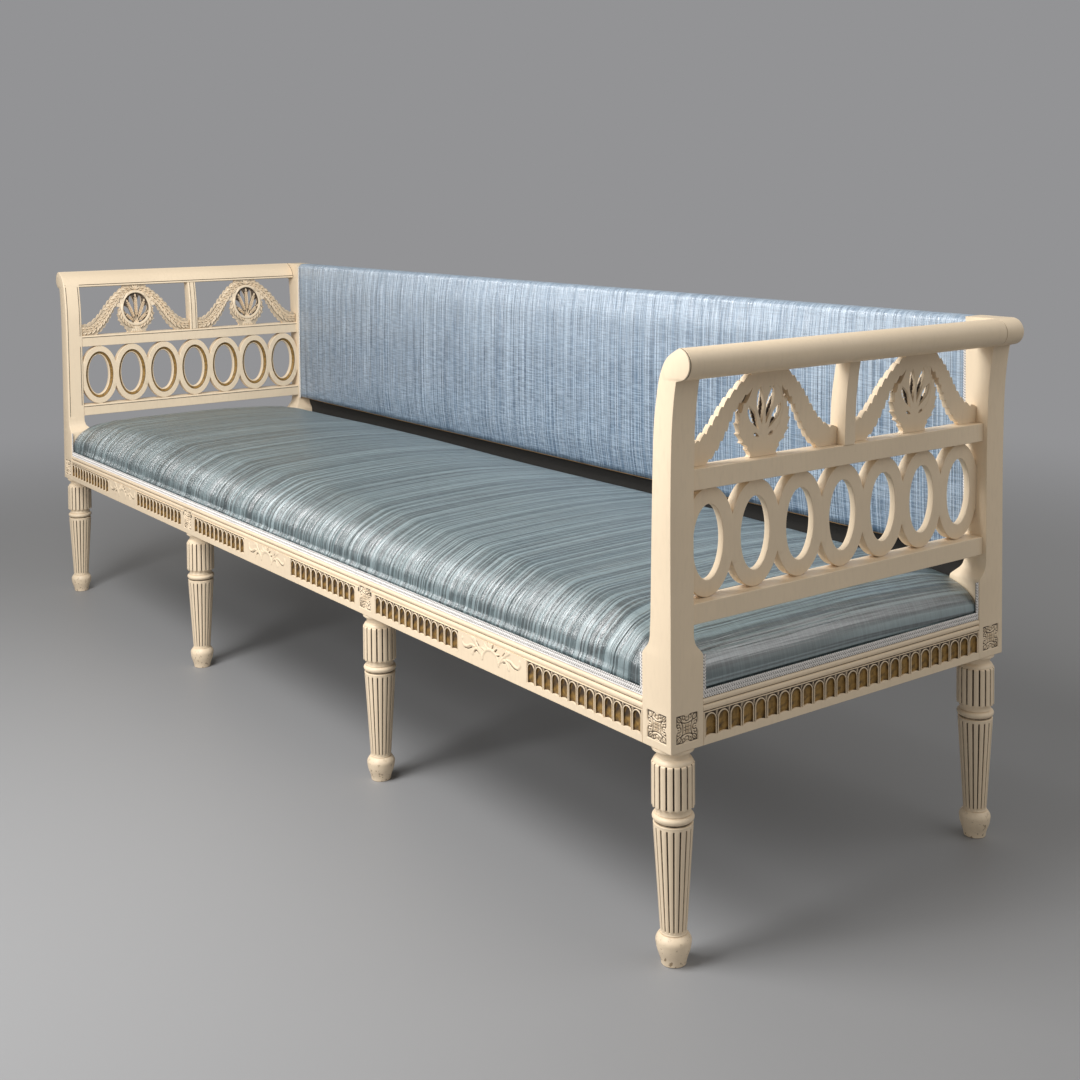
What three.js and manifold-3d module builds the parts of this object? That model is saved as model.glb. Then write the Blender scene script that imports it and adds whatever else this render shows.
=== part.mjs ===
// A long painted day sofa in the Gustavian manner: eight turned and fluted legs, carved seat rails,
// two open arms with a gallery of ovals under a row of garland frets, a domed seat and a padded back.
// Millimetres. X runs along the sofa, the front faces -Y and +Z is up. The origin lies on the floor
// under the middle of the sofa.
import * as THREE from "three";
import { mergeVertices } from "three/addons/utils/BufferGeometryUtils.js";
import Module from "manifold-3d";

// Overall sizes. The length and depth are taken over the square corner blocks.
const lengthOverBlocks = 2312;
const depthOverBlocks = 680;
const overallHeight = 808;
const legHeight = 288;
const fit = 0.3;

// Corner posts: a square block, a hollow taper above it, and an upright that sweeps out to a scroll.
const blockSize = 56;
const blockHeight = 118;
const taperHeight = 40;
const uprightWidth = 40.5;
const uprightDepth = 40;
const scrollRadius = 19;
const scrollReach = 17.5;
const notchReach = 11.8;
const notchDrop = 7;
const scrollSteps = 9;
const scrollUndercutShare = 0.39;
const taperShares = [[0, 0], [0.1, 0.1], [0.38, 0.75], [0.6, 0.95], [0.76, 1], [1, 1]];
const innerSweepShares = [[0, 0], [0.45, 0.075], [0.7, 0.14], [0.82, 0.247], [0.896, 0.359], [0.96, 0.59], [1, 1]];
const outerSweepShares = [[0, 0], [0.36, 0], [0.6, 0.08], [0.8, 0.28], [0.93, 0.66], [1, 1]];

// Turned legs, from the floor up. The shaft and the drum above it are fluted.
const footRadius = 16.5;
const bulbRadius = 23.4;
const footTopRadius = 18.2;
const footHeight = 41;
const ankleRadius = 17.2;
const shaftTopRadius = 26.4;
const grooveRadius = 22.5;
const grooveHeight = 5;
const torusRadius = 27.8;
const torusHeight = 11.5;
const waistRadius = 23.5;
const waistHeight = 10;
const drumRadius = 28;
const drumHeight = 58;
const shoulderHeight = 7;
const neckRadius = 21.9;
const collarRadius = 27.8;
const collarHeight = 4;
const collarFlare = 10;
const spigotRadius = 11;
const spigotLength = 28;
const spindleRadius = 10;
const legSides = 12;
const fluteCount = 18;
const fluteShare = 0.3;
const fluteDepth = 2.2;
const seamLap = 1;
const bulbShares = [[0.42, 0.42], [1, 0.68], [0.92, 0.82]];
const torusShares = [[0.55, 0], [1, 0.3], [1, 0.7], [0.55, 1]];

// Seat rails with two beads under the upholstery and a blind arcade cut into the face.
const railHeight = 61;
const railThickness = 44;
const beadHeight = 8.4;
const beadDepth = 3;
const rebateWidth = 12;
const webbingThickness = 2;
const beadShares = [[1, 0], [0.25, 0.15], [0, 0.5], [0.25, 0.85], [1, 1]];
const tenonThickness = 12;
const tenonLength = 20;
const tenonShoulder = 8;
const archWidth = 15.2;
const archHeight = 26;
const archLift = 10.6;
const archDepth = 6;
const archSteps = 4;
const archMargin = 2;
const rosetteSize = 38;
const rosetteMargin = 15;
const endRunLength = 254;
const endRunArchCount = 13;
const middleRunLength = 243;
const middleRunArchCount = 12;
const sideRunArchCount = 25;

// Inner frame of the seat.
const crossRailWidth = 30;
const crossRailHeight = 44;
const crossTenonLength = 15;
const crossTenonHeight = 16;
const braceReach = 100;
const braceWidth = 34;
const braceHeight = 34;
const braceLift = 12;
const webWidth = 50;
const lengthwiseWebCount = 3;
const crosswiseWebCount = 6;
const webMargin = 34;
const hessianThickness = 1.2;
const coverThickness = 1;
const coverLap = 8;
const coverClearance = 3;

// Seat upholstery: a domed pad and a woven gimp along its lower edge and beside the posts.
const gimpHeight = 11;
const gimpThickness = 2;
const gimpSetback = 1;
const padSideHeight = 50;
const padRollWidth = 62;
const padRollHeight = 28;
const padCrown = 17;
const padDrawIn = 3;
const padClearance = 1.5;
const padRollShares = [0, 0.04, 0.14, 0.32, 0.6, 1];
const padLengthSteps = 14;
const padDepthSteps = 6;

// Arms: two rails and a crest between the posts, a middle stile, an oval gallery and two frets. The
// ovals take their share of the height that is left between the lower rail, middle rail and crest.
const armLift = 96.5;
const lowerRailHeight = 27;
const ovalHeightShare = 0.5444;
const midRailHeight = 27.5;
const armOuterInset = 6.7;
const armTenonLength = 14;
const armTenonThickness = 12;
const armTenonShoulder = 5;
const crestDowelRadius = 6;
const crestDowelSides = 10;
const stileWidth = 21;
const ovalCount = 7;
const ovalOverlap = 8.8;
const ovalSideBand = 20.5;
const ovalEndBand = 23;
const ovalCoveWidth = 7.8;
const ovalBoardThickness = 17;
const ovalStraightDepth = 10;
const ovalRecess = 2;
const ovalSteps = 14;
const fretThickness = 13;
const fretRecess = 1.5;

// Outline of one garland fret, as shares of its width and height: an oval medallion that stands on a
// small plinth, with a laurel swag that falls from its top to each lower corner.
const swagTopShares = [[0, 0.2], [0.05, 0.205], [0.1, 0.26], [0.15, 0.36], [0.2, 0.5], [0.25, 0.65],
  [0.3, 0.77], [0.35, 0.87], [0.4, 0.95], [0.42, 1]];
const swagUnderShares = [[0.115, 0], [0.16, 0.06], [0.2, 0.15], [0.235, 0.27], [0.265, 0.38],
  [0.29, 0.5], [0.325, 0.62], [0.36, 0.71], [0.405, 0.78]];
const medallionShares = [[0.375, 0.7], [0.345, 0.58], [0.33, 0.44], [0.332, 0.3], [0.35, 0.2],
  [0.385, 0.11], [0.415, 0.06], [0.41, 0]];
const fretHoleShares = [
  [[0.435, 0.66], [0.49, 0.73], [0.485, 0.64], [0.47, 0.54]],
  [[0.4, 0.54], [0.415, 0.5], [0.438, 0.37], [0.405, 0.43], [0.385, 0.5]],
  [[0.385, 0.33], [0.41, 0.3], [0.432, 0.24], [0.422, 0.18], [0.4, 0.23]],
];

// Back: a frame between the back posts, a padded front that rolls over the top, and a plain rear cover.
const backLift = 88;
const backFrameThickness = 24;
const backRailHeight = 32;
const backMuntinWidth = 40;
const backTenonThickness = 11;
const backTenonLength = 16;
const backTenonShoulder = 6;
const backSetback = 5;
const backPadThickness = 2.4;
const backCrown = 8;
const backTopThickness = 10;
const backTopRoll = 9;
const rollEaseShare = 0.25;
const backWrap = 16;
const backCoverThickness = 1.5;
const backLengthSteps = 16;
const backFrontShares = [0, 0.05, 0.15, 0.32, 0.5, 0.68, 0.85, 0.95, 1];
const backGimpWidth = 8;

// Paint, gilding, cloth and timber colours.
const paintColour = 0xe6d6b8;
const seatColour = 0x71868b;
const backColour = 0x93a9bd;
const gimpColour = 0xc9bfc6;
const timberColour = 0xb08a5c;
const webbingColour = 0xa8946c;
const linenColour = 0x4a4743;

const wasm = await Module();
wasm.setup();

// Places worked out from the sizes above.
const halfLength = lengthOverBlocks / 2;
const halfDepth = depthOverBlocks / 2;
const legX = halfLength - blockSize / 2;
const legY = halfDepth - blockSize / 2;
const midLegX = legX / 3;
const blockTop = legHeight + blockHeight;
const taperTop = blockTop + taperHeight;
const railTop = legHeight + railHeight;
const rebateDepth = webbingThickness + fit;
const spigotTop = legHeight + spigotLength;
const tenonBase = spigotTop + tenonShoulder - fit;
const tenonTop = railTop - rebateDepth - tenonShoulder;
const clearLength = lengthOverBlocks - blockSize * 2;
const clearDepth = depthOverBlocks - blockSize * 2;
const crestBase = overallHeight - scrollRadius * 2;
const lowerRailBase = railTop + armLift;
const lowerRailTop = lowerRailBase + lowerRailHeight;
const ovalHeight = (crestBase - lowerRailTop - midRailHeight) * ovalHeightShare;
const midRailBase = lowerRailTop + ovalHeight;
const midRailTop = midRailBase + midRailHeight;
const armHalfSpan = halfDepth - uprightDepth;
const backBottom = railTop + backLift;
const backFront = armHalfSpan + backSetback;
const backHalfSpan = halfLength - uprightWidth;

// Small helpers that turn outlines into solids.
function vectors(outline) {
  return outline.map(([across, up]) => new THREE.Vector2(across, up));
}

function extrude(outline, length, holes = []) {
  const shape = new THREE.Shape(vectors(outline));
  for (const hole of holes) {
    shape.holes.push(new THREE.Path(vectors(hole)));
  }
  return new THREE.ExtrudeGeometry(shape, { depth: length, bevelEnabled: false, steps: 1 });
}

function along(outline, start, end, axes, holes) {
  const geometry = extrude(outline, end - start, holes);
  geometry.translate(0, 0, start);
  const turn = new THREE.Matrix4().makeBasis(...axes);
  return geometry.applyMatrix4(turn);
}

const unitX = new THREE.Vector3(1, 0, 0);
const unitY = new THREE.Vector3(0, 1, 0);
const unitZ = new THREE.Vector3(0, 0, 1);

// The outline is given as (y, z) and runs from one x to another.
function alongX(outline, start, end, holes) {
  return along(outline, start, end, [unitY, unitZ, unitX], holes);
}

// The outline is given as (x, z) and runs from one y to another.
function alongY(outline, start, end, holes) {
  return along(outline, -end, -start, [unitX, unitZ, unitY.clone().negate()], holes);
}

// The outline is given as (x, y) and runs from one z to another.
function alongZ(outline, start, end, holes) {
  return along(outline, start, end, [unitX, unitY, unitZ], holes);
}

// A box between three pairs of limits, each pair in either order.
function box(...limits) {
  const sizes = limits.map(([from, to]) => Math.abs(to - from));
  const middle = limits.map(([from, to]) => (from + to) / 2);
  return new THREE.BoxGeometry(...sizes).translate(...middle);
}

function mirroredSpan(half) {
  return [-half, half];
}

function solidOf(geometry) {
  const bare = geometry.clone();
  bare.deleteAttribute("normal");
  bare.deleteAttribute("uv");
  const merged = mergeVertices(bare);
  return new wasm.Manifold(new wasm.Mesh({
    numProp: 3,
    vertProperties: new Float32Array(merged.attributes.position.array),
    triVerts: new Uint32Array(merged.index.array),
  }));
}

function geometryOf(solid) {
  const mesh = solid.getMesh();
  const geometry = new THREE.BufferGeometry();
  geometry.setAttribute("position", new THREE.BufferAttribute(new Float32Array(mesh.vertProperties), 3));
  geometry.setIndex(new THREE.BufferAttribute(new Uint32Array(mesh.triVerts), 1));
  geometry.computeVertexNormals();
  return geometry;
}

function joined(...geometries) {
  return geometryOf(geometries.map(solidOf).reduce((whole, next) => whole.add(next)));
}

function cut(geometry, tools) {
  return geometryOf(tools.map(solidOf).reduce((whole, tool) => whole.subtract(tool), solidOf(geometry)));
}

function common(first, second) {
  return geometryOf(solidOf(first).intersect(solidOf(second)));
}

// The other hand of a piece: mirrored in x with its faces turned to point outwards again.
function otherHand(geometry) {
  const flipped = geometryOf(solidOf(geometry));
  flipped.scale(-1, 1, 1);
  const order = flipped.index.array;
  for (let corner = 0; corner < order.length; corner += 3) {
    [order[corner], order[corner + 1]] = [order[corner + 1], order[corner]];
  }
  flipped.computeVertexNormals();
  return flipped;
}

// A closed skin through rings of equal point count, with both ends capped over their flat outline.
function skin(rings, outline) {
  const count = rings[0].length;
  const positions = rings.flat().flatMap((point) => point.toArray());
  const faces = [];
  for (let ring = 0; ring < rings.length - 1; ring += 1) {
    for (let at = 0; at < count; at += 1) {
      const next = (at + 1) % count;
      const low = ring * count;
      const high = low + count;
      faces.push(low + at, low + next, high + next, low + at, high + next, high + at);
    }
  }
  const last = (rings.length - 1) * count;
  for (const [a, b, c] of THREE.ShapeUtils.triangulateShape(vectors(outline), [])) {
    faces.push(a, c, b, last + a, last + b, last + c);
  }
  const geometry = new THREE.BufferGeometry();
  geometry.setAttribute("position", new THREE.Float32BufferAttribute(positions, 3));
  geometry.setIndex(faces);
  geometry.computeVertexNormals();
  return geometry;
}

// Points of a smooth curve through shares, measured from one corner over a width and a height.
function sweep(shares, corner, width, height, stepsPerShare) {
  const knots = shares.map(([up, across]) => [corner[0] + width * across, corner[1] + height * up]);
  const curve = new THREE.SplineCurve(vectors(knots));
  return curve.getPoints((shares.length - 1) * stepsPerShare).map((point) => [point.x, point.y]);
}

function acrossAt(points, up) {
  const above = Math.max(1, points.findIndex((point) => point[1] >= up));
  const [low, high] = [points[above - 1], points[above]];
  const share = (up - low[1]) / (high[1] - low[1]);
  return low[0] + (high[0] - low[0]) * share;
}

// Curves of the posts, as distance from the outer face of the block (inwards is negative) and height.
const innerSweep = sweep(innerSweepShares, [-uprightWidth, taperTop], uprightWidth + scrollReach,
  overallHeight - taperTop, 2);
const outerSweep = sweep(outerSweepShares, [0, taperTop], notchReach, crestBase - notchDrop - taperTop, 1);

function taperCurve(full, slim) {
  return taperShares.map(([up, inwards]) => [full + (slim - full) * inwards, blockTop + taperHeight * up]);
}

function scrollArc(startShare) {
  const points = [];
  const startAngle = -Math.PI * startShare;
  for (let step = 0; step <= scrollSteps; step += 1) {
    const angle = startAngle + (Math.PI / 2 - startAngle) * (step / scrollSteps);
    points.push([
      scrollReach + scrollRadius * Math.cos(angle),
      crestBase + scrollRadius + scrollRadius * Math.sin(angle),
    ]);
  }
  return points;
}

function postOutline(sweptInside) {
  const inside = sweptInside
    ? innerSweep.slice(1, -1).reverse()
    : [[-uprightWidth, overallHeight]];
  return [
    [-blockSize, legHeight],
    [0, legHeight],
    ...outerSweep,
    ...scrollArc(scrollUndercutShare),
    ...inside,
    ...taperCurve(-blockSize, -uprightWidth).reverse(),
  ];
}

function postSideOutline() {
  return [
    [0, legHeight],
    [blockSize, legHeight],
    ...taperCurve(blockSize, uprightDepth),
    [uprightDepth, overallHeight + blockSize],
    [0, overallHeight + blockSize],
  ];
}

function atOuterFace(outline) {
  return outline.map(([outwards, up]) => [halfLength + outwards, up]);
}

// Arm rails keep their inner face flush with the posts and their outer face inset.
function armSection(base, top) {
  const outer = -armOuterInset;
  return atOuterFace([
    [acrossAt(innerSweep, base), base],
    [outer, base],
    [outer, top],
    [acrossAt(innerSweep, top), top],
  ]);
}

// A tenon at one end of an arm rail; grow widens it into its mortise.
function armTenon(base, top, endY, grow) {
  const middle = halfLength + (acrossAt(innerSweep, (base + top) / 2) - armOuterInset) / 2;
  const half = armTenonThickness / 2 + grow;
  return box(
    [middle - half, middle + half],
    [(armHalfSpan - armTenonLength) * endY, (armHalfSpan + armTenonLength + grow) * endY],
    [base + armTenonShoulder - grow, top - armTenonShoulder + grow],
  );
}

function armRail(base, top) {
  const bar = alongY(armSection(base, top), -armHalfSpan + fit, armHalfSpan - fit);
  return joined(bar, armTenon(base, top, 1, 0), armTenon(base, top, -1, 0));
}

// The crest is the post's own head carried from post to post, with a round dowel at each end.
function crestDowel(grow) {
  const radius = crestDowelRadius + grow;
  const reach = armHalfSpan + armTenonLength + grow;
  const dowel = new THREE.CylinderGeometry(radius, radius, reach * 2, crestDowelSides);
  return dowel.translate(halfLength + scrollReach, 0, crestBase + scrollRadius);
}

function crestRail() {
  const inner = innerSweep.filter((point) => point[1] > crestBase).slice(0, -1).reverse();
  const outline = [
    [acrossAt(innerSweep, crestBase), crestBase],
    ...scrollArc(1 / 2),
    ...inner,
  ];
  const roll = alongY(atOuterFace(outline), -armHalfSpan + fit, armHalfSpan - fit);
  return joined(roll, crestDowel(0));
}

function armStile() {
  const base = midRailTop + fit;
  const top = crestBase - fit;
  const within = (points) => points.filter((point) => point[1] > base && point[1] < top);
  const outer = (up) => acrossAt(outerSweep, Math.min(up, outerSweep.at(-1)[1])) - armOuterInset;
  const innerSide = [[acrossAt(innerSweep, base), base], ...within(innerSweep),
    [acrossAt(innerSweep, top), top]];
  const outerSide = [[outer(base), base], ...within(outerSweep).map(([, up]) => [outer(up), up]),
    [outer(top), top]];
  return alongY(atOuterFace([...outerSide, ...innerSide.reverse()]), -stileWidth / 2, stileWidth / 2);
}

// Gallery boards and frets are sawn flat and bent to lie along the inner sweep of the posts.
function bentToArm(geometry, recess) {
  const place = geometry.attributes.position;
  for (let at = 0; at < place.count; at += 1) {
    const lean = acrossAt(innerSweep, place.getZ(at));
    place.setX(at, halfLength + lean + recess + place.getX(at));
  }
  geometry.computeVertexNormals();
  return geometry;
}

// Points of an upright oval, starting at its top.
function ellipse(centre, up, width, height) {
  const points = [];
  for (let step = 0; step < ovalSteps; step += 1) {
    const angle = (Math.PI * 2 * step) / ovalSteps;
    points.push([centre - (width / 2) * Math.sin(angle), up + (height / 2) * Math.cos(angle)]);
  }
  return points;
}

function ovalCutter(centre, up, width) {
  const holeWidth = width - ovalSideBand * 2;
  const holeHeight = ovalHeight - ovalEndBand * 2;
  const straight = ellipse(centre, up, holeWidth, holeHeight);
  const wide = ellipse(centre, up, holeWidth + ovalCoveWidth * 2, holeHeight + ovalCoveWidth * 2);
  const ring = (points, across) => points.map(([y, z]) => new THREE.Vector3(across, y, z));
  const coveDepth = ovalBoardThickness - ovalStraightDepth;
  return skin([ring(wide, 0), ring(straight, coveDepth), ring(straight, ovalBoardThickness)], straight);
}

function ovalGallery() {
  const clear = (armHalfSpan - fit) * 2;
  const pitch = clear / ovalCount;
  const width = pitch + ovalOverlap;
  const up = midRailBase - ovalHeight / 2;
  const rings = [];
  const cutters = [];
  for (let place = 0; place < ovalCount; place += 1) {
    const centre = (place + 1 / 2) * pitch - clear / 2;
    rings.push(alongX(ellipse(centre, up, width, ovalHeight - fit * 2), 0, ovalBoardThickness));
    cutters.push(ovalCutter(centre, up, width));
  }
  const trim = box([0, ovalBoardThickness], mirroredSpan(clear / 2), [midRailBase - ovalHeight, midRailBase]);
  return bentToArm(cut(common(joined(...rings), trim), cutters), ovalRecess);
}

function mirroredShares(shares) {
  return shares.map(([across, up]) => [1 - across, up]).reverse();
}

function fretOutlineShares() {
  const left = [...swagTopShares].reverse();
  return [
    ...mirroredShares(left),
    ...left,
    [0, 0],
    ...swagUnderShares,
    ...medallionShares,
    ...mirroredShares([...swagUnderShares, ...medallionShares]),
    [1, 0],
  ];
}

// One fret fills the space between a post and the stile; its outer face is plain sawn board.
function garlandFret(startY, endY) {
  const base = midRailTop + fit;
  const place = ([across, up]) => [
    startY + (endY - startY) * across,
    base + (crestBase - fit - base) * up,
  ];
  const holes = fretHoleShares.flatMap((hole) => [hole, mirroredShares(hole)]);
  const board = alongX(fretOutlineShares().map(place), 0, fretThickness, holes.map((hole) => hole.map(place)));
  return bentToArm(geometryOf(solidOf(board)), fretRecess);
}

function post(sweptInside, frontSide) {
  const towards = frontSide ? 1 : -1;
  const plumb = -halfDepth * towards;
  const side = postSideOutline().map(([inwards, up]) => [plumb + inwards * towards, up]);
  const face = alongY(atOuterFace(postOutline(sweptInside)), -halfDepth, halfDepth);
  const reach = halfLength + scrollReach + scrollRadius * 2;
  const blank = common(face, alongX(side, halfLength - blockSize * 2, reach));
  const endY = frontSide ? -1 : 1;
  const mortises = [
    seatTenon("side", endY, fit),
    seatTenon("long", endY, fit),
    legSocket(legX, legY * endY),
    armTenon(lowerRailBase, lowerRailTop, endY, fit),
    armTenon(midRailBase, midRailTop, endY, fit),
    crestDowel(fit),
  ];
  if (!frontSide) {
    mortises.push(backTenon(backBottom + fit, fit), backTenon(backTopRailBase, fit));
  }
  return cut(blank, mortises);
}

// Tenons of the seat rails in the right hand posts; grow widens them into mortises.
function seatTenon(kind, endY, grow) {
  const middle = railThickness / 2;
  const half = tenonThickness / 2 + grow;
  const heights = [tenonBase - grow, tenonTop + grow];
  if (kind === "long") {
    const y = (halfDepth - middle) * endY;
    const start = halfLength - blockSize;
    return box([start - tenonLength, start + tenonLength + grow], [y - half, y + half], heights);
  }
  const x = halfLength - middle;
  const start = halfDepth - blockSize;
  return box([x - half, x + half], [(start - tenonLength) * endY, (start + tenonLength + grow) * endY], heights);
}

function legSocket(x, y) {
  const radius = spigotRadius + fit;
  const depth = spigotLength + fit;
  const bore = new THREE.CylinderGeometry(radius, radius, depth * 2, legSides);
  bore.rotateX(Math.PI / 2);
  return bore.translate(x, y, legHeight);
}

// Seat rails are drawn along x with the outer face at y = 0 and the underside at z = 0.
function bead(base) {
  return beadShares.map(([inwards, up]) => [beadDepth * inwards, base + beadHeight * up]);
}

function railSection(beaded) {
  const beads = beaded
    ? [...bead(railHeight - beadHeight * 2), ...bead(railHeight - beadHeight).slice(1)]
    : [[0, railHeight]];
  return [
    [railThickness, 0],
    [railThickness, railHeight - rebateDepth],
    [railThickness - rebateWidth, railHeight - rebateDepth],
    [railThickness - rebateWidth, railHeight],
    ...beads.reverse(),
    [0, 0],
  ];
}

function arch(centre) {
  const springing = archLift + archHeight - archWidth / 2;
  const outline = [[centre - archWidth / 2, archLift], [centre + archWidth / 2, archLift]];
  for (let step = 0; step <= archSteps; step += 1) {
    const angle = (Math.PI * step) / archSteps;
    outline.push([
      centre + (archWidth / 2) * Math.cos(angle),
      springing + (archWidth / 2) * Math.sin(angle),
    ]);
  }
  return alongY(outline, -archDepth, archDepth);
}

function arcade(start, length, count) {
  const pitch = length / count;
  return Array.from({ length: count }, (_, place) => arch(start + pitch * (place + 1 / 2)));
}

function frontArcades() {
  const blockFace = halfLength - blockSize - archMargin;
  const besideRosette = midLegX + rosetteSize / 2 + rosetteMargin;
  const middleStart = midLegX - rosetteSize / 2 - rosetteMargin;
  return [
    ...arcade(-blockFace, endRunLength, endRunArchCount),
    ...arcade(-besideRosette - endRunLength, endRunLength, endRunArchCount),
    ...arcade(-middleStart, middleRunLength, middleRunArchCount),
    ...arcade(middleStart - middleRunLength, middleRunLength, middleRunArchCount),
    ...arcade(besideRosette, endRunLength, endRunArchCount),
    ...arcade(blockFace - endRunLength, endRunLength, endRunArchCount),
  ];
}

function railTenons(clear) {
  const middle = railThickness / 2;
  const half = tenonThickness / 2;
  return box(
    mirroredSpan(clear / 2 + tenonLength),
    [middle - half, middle + half],
    [tenonBase - legHeight, tenonTop - legHeight],
  );
}

function crossMortise(x, grow) {
  const half = crossRailWidth / 2 - tenonShoulder + grow;
  const start = railThickness - crossTenonLength - grow;
  const base = spigotTop - legHeight + tenonShoulder / 2;
  return box([x - half, x + half], [start, railThickness * 2], [base - grow, base + crossTenonHeight + grow]);
}

function longRail(beaded, arches) {
  const bar = alongX(railSection(beaded), -clearLength / 2 + fit, clearLength / 2 - fit);
  const sockets = [-midLegX, midLegX].flatMap((x) => [
    legSocket(x, blockSize / 2).translate(0, 0, -legHeight),
    crossMortise(x, fit),
  ]);
  return cut(joined(bar, railTenons(clearLength)), [...sockets, ...arches]);
}

function sideRail() {
  const bar = alongX(railSection(true), -clearDepth / 2 + fit, clearDepth / 2 - fit);
  const run = clearDepth - archMargin * 2;
  return cut(joined(bar, railTenons(clearDepth)), arcade(-run / 2, run, sideRunArchCount));
}

function crossRail(x) {
  const innerFace = halfDepth - railThickness;
  const top = railTop - rebateDepth - fit;
  const half = crossRailWidth / 2;
  const bar = box([x - half, x + half], mirroredSpan(innerFace - fit), [top - crossRailHeight, top]);
  const tenonHalf = half - tenonShoulder;
  const base = spigotTop + tenonShoulder / 2;
  const tenons = box(
    [x - tenonHalf, x + tenonHalf],
    mirroredSpan(innerFace + crossTenonLength),
    [base, base + crossTenonHeight],
  );
  return joined(bar, tenons);
}

// A brace lies across an inner corner of the rails, drawn with that corner at the origin.
function cornerBrace() {
  const near = braceReach - braceWidth;
  const outline = [[-fit, near], [-fit, braceReach], [-braceReach, fit], [-near, fit]];
  return alongZ(outline, legHeight + braceLift, legHeight + braceLift + braceHeight);
}

// One ring of a fluted stretch: a narrow groove and a broad reed for each flute.
function flutedRing(radius, height) {
  const pitch = (Math.PI * 2) / fluteCount;
  const points = [];
  for (let flute = 0; flute < fluteCount; flute += 1) {
    for (const [share, depth] of [[-fluteShare / 2, 0], [0, fluteDepth], [fluteShare / 2, 0]]) {
      const angle = pitch * (flute + share);
      const reach = radius - depth;
      points.push(new THREE.Vector3(reach * Math.cos(angle), reach * Math.sin(angle), height));
    }
  }
  return points;
}

function flutedStretch(lowRadius, lowHeight, highRadius, highHeight) {
  const low = flutedRing(lowRadius, lowHeight);
  return skin([low, flutedRing(highRadius, highHeight)], low.map((point) => [point.x, point.y]));
}

// The turned part of a leg runs from the floor to the spigot and thins to a spindle inside the fluted
// stretches, which are fitted over it.
function legGeometry() {
  const top = legHeight - fit;
  const drumTop = top - collarHeight - collarFlare - shoulderHeight;
  const drumBase = drumTop - drumHeight;
  const torusTop = drumBase - waistHeight;
  const torusBase = torusTop - torusHeight;
  const shaftTop = torusBase - grooveHeight;
  const profile = [
    [0, 0],
    [footRadius, 0],
    ...bulbShares.map(([out, up]) => [footRadius + (bulbRadius - footRadius) * out, footHeight * up]),
    [footTopRadius, footHeight],
    [spindleRadius, footHeight],
    [spindleRadius, shaftTop - seamLap],
    [grooveRadius, shaftTop - seamLap],
    ...torusShares.map(([out, up]) => [grooveRadius + (torusRadius - grooveRadius) * out,
      torusBase + torusHeight * up]),
    [waistRadius, torusTop],
    [waistRadius, drumBase + seamLap],
    [spindleRadius, drumBase + seamLap],
    [spindleRadius, drumTop - seamLap],
    [drumRadius - fluteDepth, drumTop - seamLap],
    [neckRadius, drumTop + shoulderHeight],
    [collarRadius, top - collarHeight],
    [collarRadius, top],
    [spigotRadius, top],
    [spigotRadius, top + spigotLength - fit],
    [0, top + spigotLength - fit],
  ];
  const turned = new THREE.LatheGeometry(vectors(profile), legSides);
  turned.rotateX(Math.PI / 2);
  return joined(
    turned,
    flutedStretch(ankleRadius, footHeight - seamLap, shaftTopRadius, shaftTop),
    flutedStretch(drumRadius, drumBase, drumRadius, drumTop),
  );
}

// The open spans between evenly spread webs; the outermost ones run past the frame.
function openSpans(clear, reach, count) {
  const first = webMargin + webWidth / 2 - clear / 2;
  const pitch = (-first * 2) / (count - 1);
  const edges = [-reach - webMargin];
  for (let web = 0; web < count; web += 1) {
    const middle = first + pitch * web;
    edges.push(middle - webWidth / 2, middle + webWidth / 2);
  }
  edges.push(reach + webMargin);
  return Array.from({ length: count + 1 }, (_, span) => [edges[span * 2], edges[span * 2 + 1]]);
}

// Webbing lies in the rebates of the rails, woven into one lattice.
function seatWebbing() {
  const reachX = halfLength - railThickness + rebateWidth - fit;
  const reachY = halfDepth - railThickness + rebateWidth - fit;
  const sheet = box(mirroredSpan(reachX), mirroredSpan(reachY), [railTop - webbingThickness, railTop]);
  const through = [legHeight, overallHeight];
  const openings = openSpans(clearLength, reachX, crosswiseWebCount).flatMap((spanX) =>
    openSpans(clearDepth, reachY, lengthwiseWebCount).map((spanY) => box(spanX, spanY, through)));
  return cut(sheet, openings);
}

function seatHessian() {
  const base = railTop + fit;
  const halfX = clearLength / 2 - fit - padClearance;
  const halfY = clearDepth / 2 - fit - padClearance;
  return box(mirroredSpan(halfX), mirroredSpan(halfY), [base, base + hessianThickness]);
}

function square(value) {
  return value * value;
}

// Heights of the domed pad: a rolled edge all round and a low crown over the whole seat.
function rollAt(inset) {
  const share = Math.min(1, inset / padRollWidth);
  return Math.sqrt(1 - square(1 - share));
}

function stations(half, innerSteps) {
  const edge = padRollShares.map((share) => -half + padRollWidth * share);
  const inner = half - padRollWidth;
  const middle = Array.from({ length: innerSteps - 1 }, (_, step) => -inner + (inner * 2 * (step + 1)) / innerSteps);
  return [...edge, ...middle, ...edge.map((place) => -place).reverse()];
}

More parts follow.
